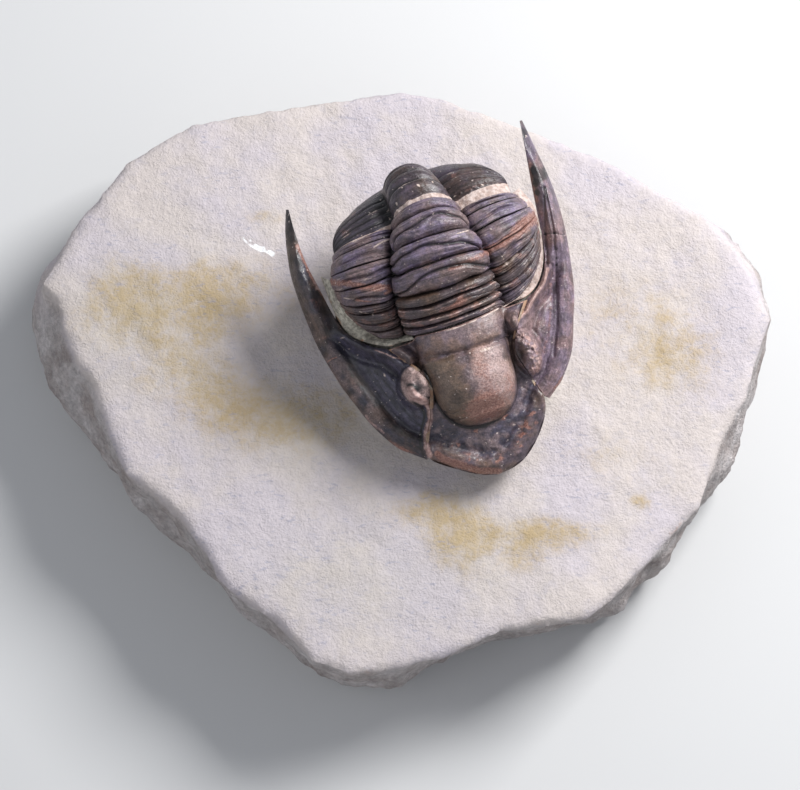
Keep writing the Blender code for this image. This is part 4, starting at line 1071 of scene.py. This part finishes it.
STAND_OUTLINE = np.array([
    (-0.7, -12.6), (-4.6, -11.2), (-8.2, -8.2), (-10.4, -4.6), (-11.6, -0.6), (-11.9, 3.0),
    (-11.0, 6.0), (-10.0, 8.2), (-9.0, 9.8), (-7.6, 11.6), (-5.6, 12.9), (-3.0, 13.7),
    (0.0, 14.1), (3.0, 13.7), (5.6, 12.9), (7.6, 11.6), (8.8, 9.8), (9.6, 8.0),
    (10.3, 5.6), (10.4, 2.8), (9.9, -0.6), (8.8, -4.2), (6.8, -7.4), (4.4, -9.6), (2.6, -11.6),
])
STAND_CENTRE = np.array([-0.3, 2.0])
STAND_WAIST = ([0.0, 0.12, 0.5, 0.88, 1.0], [1.03, 0.96, 0.9, 0.93, 0.95])
STAND_GAP = 0.1
# Stains on the slab, and patches of painted shade beside the head's left side, towards the bottom and at the
# left, each with its middle, its half sizes and its strength.
OCHRE_STAINS = [
    (-23.5, 5.6, 8.5, 4.6, 0.72), (-15.5, 8.2, 7.0, 3.4, 0.6), (-11.5, -4.2, 8.5, 3.8, 0.95),
    (-20.0, -0.5, 5.0, 3.0, 0.5), (3.2, -13.2, 4.6, 2.2, 0.85), (5.1, -15.4, 2.6, 1.3, 0.7),
    (14.5, -15.4, 5.2, 1.5, 0.85), (11.5, -17.5, 3.4, 2.6, 0.6), (5.2, -17.6, 3.0, 2.8, 0.65),
    (22.0, 5.6, 8.5, 5.5, 0.46), (26.5, 0.8, 5.0, 4.6, 0.46), (22.5, -12.4, 1.2, 1.0, 0.8),
    (-13.0, 15.5, 2.4, 1.0, 0.6), (-27.0, 9.0, 3.0, 3.6, 0.45), (19.0, -8.0, 6.0, 3.0, 0.4),
]
PAINTED_SHADE_PATCHES = [(-7.0, -4.0, 6.0, 5.5, 0.35), (-4.0, -20.0, 13.0, 6.5, 0.4), (-26.0, 5.0, 8.0, 8.0, 0.3)]
WHITE_CHIP = [(-15.1, 13.6), (-14.4, 12.9), (-13.7, 12.4), (-12.4, 11.8)]
LEFT_FILL_HEAD = [
    (-4.6, 0.15), (-5.8, 0.25), (-7.0, 0.3), (-8.6, 1.15), (-9.75, 2.1), (-10.4, 3.1), (-10.75, 4.6),
    (-10.85, 6.2), (-10.9, 8.6),
]
RIGHT_FILL_HEAD = [
    (4.3, 0.2), (5.3, 0.4), (6.4, 0.45), (7.4, 0.85), (8.3, 1.6), (9.15, 2.95), (9.7, 4.6), (10.0, 6.2),
]
RIGHT_FILL_REAR = [(10.1, 7.6, 1.5), (9.9, 8.8, 1.7), (9.3, 10.2, 1.9)]
STONE_MASKS = ("ochre", "shade", "fresh", "white", "cream", "green", "rust")
WARM_STONE, COOL_STONE = (0.575, 0.515, 0.49), (0.545, 0.495, 0.525)
PALE_OCHRE, OCHRE = (0.47, 0.41, 0.34), (0.43, 0.32, 0.17)
GREY_SHADE, BLUE_SPECK, GREY_CLOUD = (0.35, 0.34, 0.3), (0.26, 0.27, 0.36), (0.42, 0.4, 0.46)
DARK_BREAK, PALE_BREAK = (0.35, 0.3, 0.285), (0.55, 0.515, 0.515)
CHIP_WHITE, STONE_RUST = (0.86, 0.86, 0.87), (0.34, 0.16, 0.08)
DARK_CREAM, PALE_CREAM = (0.4, 0.29, 0.25), (0.62, 0.51, 0.47)
DARK_GREEN, PALE_GREEN = (0.27, 0.25, 0.2), (0.6, 0.56, 0.46)


def crossing(outline, centre, angles):
    """Where the rays from the centre at these angles leave the closed outline."""
    dx, dy = np.cos(angles), np.sin(angles)
    best = np.zeros(angles.shape)
    for (x0, y0), (x1, y1) in zip(outline, np.roll(outline, -1, axis=0)):
        ex, ey = x1 - x0, y1 - y0
        det = dx * ey - dy * ex
        det = np.where(np.abs(det) < 1e-9, 1e-9, det)
        rx, ry = x0 - centre[0], y0 - centre[1]
        along = (rx * ey - ry * ex) / det
        share = (rx * dy - ry * dx) / det
        hit = (along > 0) & (share >= -1e-6) & (share <= 1.000001)
        best = np.where(hit, np.maximum(best, along), best)
    return stacked(centre[0] + dx * best, centre[1] + dy * best)


def with_z(xy, z):
    return stacked(xy[..., 0], xy[..., 1], z)


def slab_relief(xy):
    """The gentle swell and dip of the slab's upper face."""
    return 0.5 * lumps(with_z(xy, 3.0), 17.0) + 0.16 * lumps(with_z(xy, 9.0), 5.0)


def moved_in(xy, centre, inset):
    """Points moved this far towards the centre."""
    run = centre - xy
    return xy + run * (inset / np.linalg.norm(run, axis=-1))[..., None]


def plates_ceiling(plates):
    """A search tree of the plates' faces, in mm."""
    corners, faces = [], []
    for piece in plates:
        base = len(corners)
        corners += [v.co / MM for v in piece.data.vertices]
        faces += [[base + k for k in p.vertices] for p in piece.data.polygons]
    return BVHTree.FromPolygons(corners, faces)


def limestone_material():
    """Pale pinkish rock with ochre stains, blue-grey specks and a gritty abraded face."""
    material, make = new_material("pale_limestone_abraded")
    place = make.place()
    masks = {label: make.attribute(label) for label in STONE_MASKS}
    broad = make.noise(place, 9.0, 4.0)
    wide = make.noise(place, 3.6, 6.0, 0.65)
    middle = make.noise(place, 1.6, 5.0, 0.6)
    cloud = make.noise(place, 1.3, 3.0, 0.6)
    fine = make.noise(place, 0.42, 4.0, 0.62)
    grit = make.noise(place, 0.2, 2.0, 0.7)
    turn = {"Vector": place, "Rotation": (0.0, 0.0, radians(24.0)), "Scale": (1.0, 2.6, 1.0)}
    dash = make.noise(make.add("Mapping", turn).outputs["Vector"], 0.9, 2.0, 0.5)
    body = make.mix(make.spread(broad, 0.38, 0.62), WARM_STONE, COOL_STONE)
    body = make.tint(body, make.spread(fine, 0.3, 0.7, 0.93, 1.04))
    ochre_edge = masks["ochre"]
    for source, amount in ((wide, 1.6), (middle, 1.5), (fine, 1.0)):
        ochre_edge = make.plus(ochre_edge, make.jitter(source, amount))
    near_stain = make.times(make.spread(masks["ochre"], 0.02, 0.6), make.spread(ochre_edge, 0.1, 1.3))
    body = make.mix(make.spread(masks["ochre"], 0.05, 1.2, 0.0, 0.5), body, PALE_OCHRE)
    body = make.mix(make.times(near_stain, 0.9), body, OCHRE)
    # Painted shade: a greenish grey darkens the slab where the head's shadow falls, towards the bottom and at
    # the left.
    body = make.mix(make.times(masks["shade"], 0.6), body, GREY_SHADE)
    specks = make.times(make.spread(dash, 0.6, 0.7), make.spread(broad, 0.42, 0.58, 0.35, 1.0))
    body = make.mix(make.times(specks, 0.4), body, BLUE_SPECK)
    body = make.mix(make.spread(cloud, 0.52, 0.72, 0.0, 0.25), body, GREY_CLOUD)
    side = make.mix(make.spread(wide, 0.3, 0.7), DARK_BREAK, PALE_BREAK)
    side = make.tint(side, make.spread(fine, 0.3, 0.7, 0.8, 1.15))
    side = make.tint(side, make.spread(middle, 0.35, 0.65, 0.85, 1.1))
    body = make.mix(masks["fresh"], body, side)
    body = make.mix(make.spread(masks["white"], 0.3, 0.6), body, CHIP_WHITE)
    body = make.mix(masks["cream"], body, make.mix(make.spread(fine, 0.35, 0.65), DARK_CREAM, PALE_CREAM))
    body = make.mix(masks["green"], body, make.mix(make.spread(fine, 0.38, 0.62), DARK_GREEN, PALE_GREEN))
    rust_edge = make.plus(masks["rust"], make.jitter(fine, 0.8))
    body = make.mix(make.spread(rust_edge, 0.35, 0.9, 0.0, 0.8), body, STONE_RUST)
    height = make.scaled(middle, 0.9, make.scaled(fine, 0.7, make.times(grit, 0.45)))
    height = make.times(height, make.scaled(masks["fresh"], 1.8, 1.0))
    rough = make.spread(fine, 0.2, 0.8, 0.78, 0.95)
    normal = bumpy(make, height, 0.16)
    set_shader(make, Base_Color=body, Roughness=rough, Normal=normal, Specular_IOR_Level=0.3)
    return material


limestone = limestone_material()


def side_rings(belly, edge, centre):
    """The broken side faces, from the flat base up to just under the rim."""
    rings = []
    for z in (0.0, 0.12, *np.linspace(0.45, BELLY_LEVEL, 15)):
        rings.append(with_z(moved_in(belly, centre, np.interp(z, SIDE_LEVELS, SIDE_INSETS)), z))
    rim_level = SLAB_THICKNESS + slab_relief(edge) - RIM_DROP
    for share in np.linspace(0.07, 0.97, 15):
        rings.append(with_z(belly + (edge - belly) * share, BELLY_LEVEL + (rim_level - BELLY_LEVEL) * share))
    rings = np.array(rings)
    face = rings[1:].copy()
    xy, z = face[..., :2], face[..., 2]
    near_rim = ramp(9.0, 12.0, z)
    swell = BREAK_ROUGHNESS * lumps(with_z(xy, 2.0 * z), 4.0) * ramp(0.0, 1.4, z) * (1.0 - 0.8 * near_rim)
    chips = 0.75 * np.abs(lumps(face, 3.6, 4.0)) + 0.3 * np.abs(lumps(face, 1.3, 2.0))
    chips = (chips + 0.05 * lumps(face, 0.5, 7.0)) * ramp(0.0, 0.4, z) * (1.0 - 0.5 * near_rim)
    rings[1:, :, :2] = moved_in(xy, centre, swell + chips)
    return list(rings)


def face_rings(edge, body, centre):
    """The abraded upper face, from its nibbled rim in to the foot of the stand."""
    rings = []
    start = with_z(edge, 0.0)
    nibble = 0.5 * np.abs(lumps(start, 2.6, 6.0)) + 0.2 * np.abs(lumps(start, 0.9, 3.0))
    for inset in 1.0 - np.linspace(0.998, 0.0, 66) ** 1.05:
        xy = edge + (body - edge) * min(inset, 0.94)
        xy = moved_in(xy, centre, nibble * np.exp(-inset * 30.0))
        rim = 0.4 * np.exp(-inset * 25.0) + 0.2 * np.exp(-inset * 90.0)
        flat = with_z(xy, 0.0)
        grain = 0.07 * lumps(flat, 1.4, 2.0) + 0.035 * lumps(flat, 0.8, 5.0) + 0.1 * lumps(flat, 3.0, 8.0)
        rings.append(with_z(xy, SLAB_THICKNESS + slab_relief(xy) - rim + grain))
        if inset > 0.93:
            break
    return rings


def neighbours(heights):
    """Each height with the eight round it, as nine layers."""
    padded = np.concatenate([heights[:1], heights, heights[-1:]])
    return np.stack([np.roll(padded, k, axis=1)[j:j + len(heights)] for k in (-1, 0, 1) for j in (0, 1, 2)])


def heights_under(ceiling, grid):
    """How high the stand reaches: up to the plates where they cover it, as high as its
    neighbours in the gaps, and smoothed."""
    up = Vector((0.0, 0.0, 1.0))
    hits = [ceiling.ray_cast(Vector((x, y, SLAB_THICKNESS - 1.0)), up)[0] for x, y in grid.reshape(-1, 2)]
    heights = np.array([np.nan if hit is None else hit.z for hit in hits]).reshape(grid.shape[:2])
    while np.isnan(heights).any():
        near = neighbours(heights)
        known = (~np.isnan(near)).sum(axis=0)
        mean = np.nan_to_num(near).sum(axis=0) / np.maximum(known, 1)
        heights = np.where(np.isnan(heights) & (known > 0), mean, heights)
    for pick in (np.min, np.min, np.mean, np.mean):
        heights = pick(neighbours(heights), axis=0)
    return heights - STAND_GAP


def stand_rings(body, centre, ceiling):
    """The stand's waisted side, and its top that closes under the plates."""
    reaches = np.concatenate([np.linspace(0.95, 0.1, 38), [0.06, 0.02]])
    run = body - centre
    grid = centre + run * reaches[:, None, None]
    heights = heights_under(ceiling, grid)
    rings = []
    for share in np.linspace(0.0, 0.97, 16):
        waist = np.interp(share, *STAND_WAIST)
        smooth = with_z(centre + run * waist, share * 8.0)
        rough = 0.05 * lumps(smooth, 4.0) + 0.015 * lumps(smooth, 1.2, 3.0)
        xy = centre + run * (waist + rough)[:, None]
        foot = SLAB_THICKNESS + slab_relief(xy)
        rings.append(with_z(xy, foot + (heights[0] - foot) * share))
    dents = np.minimum(0.06 * lumps(with_z(grid, 0.0), 0.8, 6.0), 0.0)
    return rings + list(with_z(grid, heights + dents))


def stone_body(ceiling):
    """Slab and stand as closed outlines from the base up over the top."""
    angles = np.linspace(-np.pi, np.pi, 560, endpoint=False)
    centre = on_slab(with_z(STAND_CENTRE, 0.0))[:2]
    edge = crossing(SLAB_CORNERS + SLAB_SHIFT, centre, angles)
    belly = crossing(SLAB_BELLY + SLAB_SHIFT, centre, angles)
    body = crossing(on_slab(with_z(STAND_OUTLINE, 0.0))[:, :2], centre, angles)
    sides, face = side_rings(belly, edge, centre), face_rings(edge, body, centre)
    rim, foot = len(sides), len(sides) + len(face)
    rings = np.array(sides + face + stand_rings(body, centre, ceiling))
    low, high = np.array(cad_bounds) / MM
    rings[..., :2] = np.clip(rings[..., :2], low[:2] + BOX_MARGIN, high[:2] - BOX_MARGIN)
    x, y = rings[..., 0], rings[..., 1]
    row = np.arange(len(rings))[:, None] + 0.0 * x
    masks = blank(STONE_MASKS, x.shape)
    on_face = ramp(rim, rim + 8.0, row)
    # The first list holds the ochre stains; the second holds the painted shade patches, laid only on the
    # upper face.
    for label, stains, zone in (("ochre", OCHRE_STAINS, 1.0), ("shade", PAINTED_SHADE_PATCHES, on_face)):
        for sx, sy, half_x, half_y, strength in stains:
            add_marks(masks, x, y, [(label, strength, (sx, sy), (half_x, half_y))], zone)
    masks["fresh"] += fall(rim - 3.0, rim + 0.5, row) * (1.0 - ramp(4.0, 12.0, y) * ramp(0.4, 0.8, row / rim))
    masks["white"] += stroke(x, y, WHITE_CHIP, 0.36) * patches(rings, 0.6, 2.0, -0.35, 0.1)
    rusty = patches(rings, 3.0, 1.0, 0.0, 0.5) * ramp(-30.0, 10.0, x - y)
    masks["rust"] += 0.5 * hump(row, rim - 0.5, 2.5) * rusty
    masks["green"] += 0.55 * ramp(foot - 1.0, foot + 3.0, row)
    return closed_mesh("matrix_rock", rings, limestone, masks, np.zeros(rings.shape), sharp=50.0)


def filling(name, outer, inner, masks, swell, depth=1.3, rows=180, across=17, rough=1.0):
    """Rock left in a gap: a lumpy strip between two lines of points in the animal's frame."""
    s = np.linspace(0.0, 1.0, rows)
    c = np.linspace(0.0, 1.0, across)
    under_columns = slice(None, None, -4)
    start, end = curve(outer, s)[:, None], curve(inner, s)[:, None]
    flat = start + (end - start) * c[:, None]
    s = s[:, None]
    ends = np.clip(np.sin(np.pi * s), 0.0, 1.0) ** 0.4
    top, under = flat.copy(), flat[:, under_columns].copy()
    top[..., 2] += swell * np.sin(np.pi * c)
    top[..., 2] += rough * (0.22 * lumps(flat, 1.1, 4.1) + 0.12 * lumps(flat, 0.45, 1.3)) * ends
    under[..., 2] -= depth
    rings = on_slab(np.concatenate([top, under], axis=1))
    full = wrapped(STONE_MASKS, masks(s, c, flat), flat.shape[:2], under_columns)
    return closed_mesh(name, rings, limestone, full, np.zeros(rings.shape), sharp=60.0)


def left_fill_masks(s, c, flat):
    return {
        "green": 0.9 + 0.0 * s,
        "rust": 0.45 * hump(c, 0.05, 0.12) + 0.4 * patches(flat, 0.8, 3.0, 0.1, 0.5) * (1.0 - c),
        "white": 0.65 * patches(flat * (3.0, 0.7, 1.0), 1.1, 8.0, 0.25, 0.45) * hump(c, 0.6, 0.3),
    }


def right_fill_masks(s, c, flat):
    rusty = 0.3 * patches(flat, 1.0, 3.0, 0.2, 0.6) + 0.3 * hump(c, 0.0, 0.12) + 0.35 * fall(0.25, 0.4, s)
    return {"cream": 0.95, "rust": rusty, "white": 0.6 * patches(flat, 0.6, 5.0, 0.4, 0.5)}


def vein_masks(s, c, flat):
    return {"green": 0.9 + 0.0 * s * c, "rust": 0.75 + 0.3 * lumps(flat, 0.8, 2.0)}


def on_head(line, lower):
    """Points of a line on the head, this far under its surface."""
    v, u = np.array(line, float).T
    return stacked(v, u, head_surface(v, u) - lower)


def suture_vein(name, line):
    """A thin vein of stained rock along one suture."""
    low, high = (on_head(np.array(line) + (aside, 0.0), 0.11) for aside in (-0.16, 0.2))
    return filling(name, low, high, vein_masks, 0.0, 0.5, 200, 5, 0.1)


def joined_stone(parts):
    """One mesh object from several."""
    bpy.ops.object.select_all(action="DESELECT")
    for part in parts:
        part.select_set(True)
    bpy.context.view_layer.objects.active = parts[0]
    bpy.ops.object.join()
    return parts[0]


rock = stone_body(plates_ceiling([middle_plate, left_plate, right_plate, tail_plate] + segments))
left_thorax = np.concatenate([
    back_point(0.0, [-0.42, -0.55, -0.7, -0.85, -0.98], -0.3),
    back_point([1.0, 2.5, 4.0, 5.6], -0.98, -0.2),
])
left_fill = filling("left_fill", on_head(LEFT_FILL_HEAD, 0.12), left_thorax, left_fill_masks, 0.3)
right_head = np.concatenate([on_head(RIGHT_FILL_HEAD, -0.02), RIGHT_FILL_REAR])
right_thorax = np.concatenate([
    back_point(0.0, [0.42, 0.6, 0.8, 0.98], -0.3),
    back_point([1.0, 2.2, 3.4, 4.8, 6.0, 7.0, 8.0], 0.98, -0.15),
])
right_fill = filling("right_fill", right_head, right_thorax, right_fill_masks, 0.2)
tail_q = np.linspace(-0.97, 0.99, 40)
last_rear = back_point(LAST_EDGE, tail_q, -0.05)
tail_fill = filling("tail_fill", last_rear, tail_edges(tail_q)[0], right_fill_masks, 0.05, 0.9, 300, 11)
veins = [suture_vein("left_vein", LEFT_SUTURE), suture_vein("right_vein", RIGHT_SUTURE)]
stone = joined_stone([rock, left_fill, right_fill, tail_fill] + veins)
finish_piece(stone, "matrix")

# Floor, light and camera: a plain pale floor, a soft key light from the upper right, a weaker
# one from the left and a weak one from the front under a pale sky, and the camera that looks
# down on the slab as the photograph does.
FLOOR_HALF = 0.6
SLAB_MIDDLE = Vector((-0.12, -2.15, 13.0)) * MM
LIGHTS = [
    ("key", (0.145, 0.111, 0.181), 0.92, 0.1),
    ("fill", (-0.28, -0.1, 0.25), 0.26, 0.35),
    ("front", (0.02, -0.3, 0.22), 0.12, 0.3),
]
SKY_COLOUR, SKY_STRENGTH = (0.8, 0.85, 0.95, 1.0), 0.34
CAMERA_ELEVATION = radians(75.0)
CAMERA_DISTANCE = 420.0 * MM
SENSOR_WIDTH = 36.0
LENS = 199.8

corners = [(x * FLOOR_HALF, y * FLOOR_HALF, 0.0) for x, y in ((-1, -1), (1, -1), (1, 1), (-1, 1))]
floor_mesh = bpy.data.meshes.new("floor")
floor_mesh.from_pydata(corners, [], [(0, 1, 2, 3)])
floor = bpy.data.objects.new("floor", floor_mesh)
bpy.context.scene.collection.objects.link(floor)
floor_material, make_floor = new_material("pale_floor")
set_shader(make_floor, Base_Color=(0.62, 0.62, 0.62), Roughness=0.9)
floor_mesh.materials.append(floor_material)

for name, at, power, size in LIGHTS:
    light = bpy.data.lights.new(name, "AREA")
    light.energy = power
    light.size = size
    lamp = bpy.data.objects.new(name, light)
    lamp.location = at
    lamp.rotation_euler = (Vector(at) - SLAB_MIDDLE).to_track_quat("Z", "Y").to_euler()
    bpy.context.scene.collection.objects.link(lamp)
world = bpy.data.worlds.new("studio")
world.use_nodes = True
sky = world.node_tree.nodes["Background"].inputs
sky["Color"].default_value = SKY_COLOUR
sky["Strength"].default_value = SKY_STRENGTH
bpy.context.scene.world = world
bpy.context.scene.view_settings.view_transform = "Standard"

camera_data = bpy.data.cameras.new("camera")
camera_data.sensor_width = SENSOR_WIDTH
camera_data.lens = LENS
camera_data.clip_start = 0.01
camera = bpy.data.objects.new("camera", camera_data)
back = Vector((0.0, -np.cos(CAMERA_ELEVATION), np.sin(CAMERA_ELEVATION)))
camera.location = SLAB_MIDDLE + back * CAMERA_DISTANCE
camera.rotation_euler = back.to_track_quat("Z", "Y").to_euler()
bpy.context.scene.collection.objects.link(camera)
bpy.context.scene.camera = camera

bpy.context.view_layer.update()
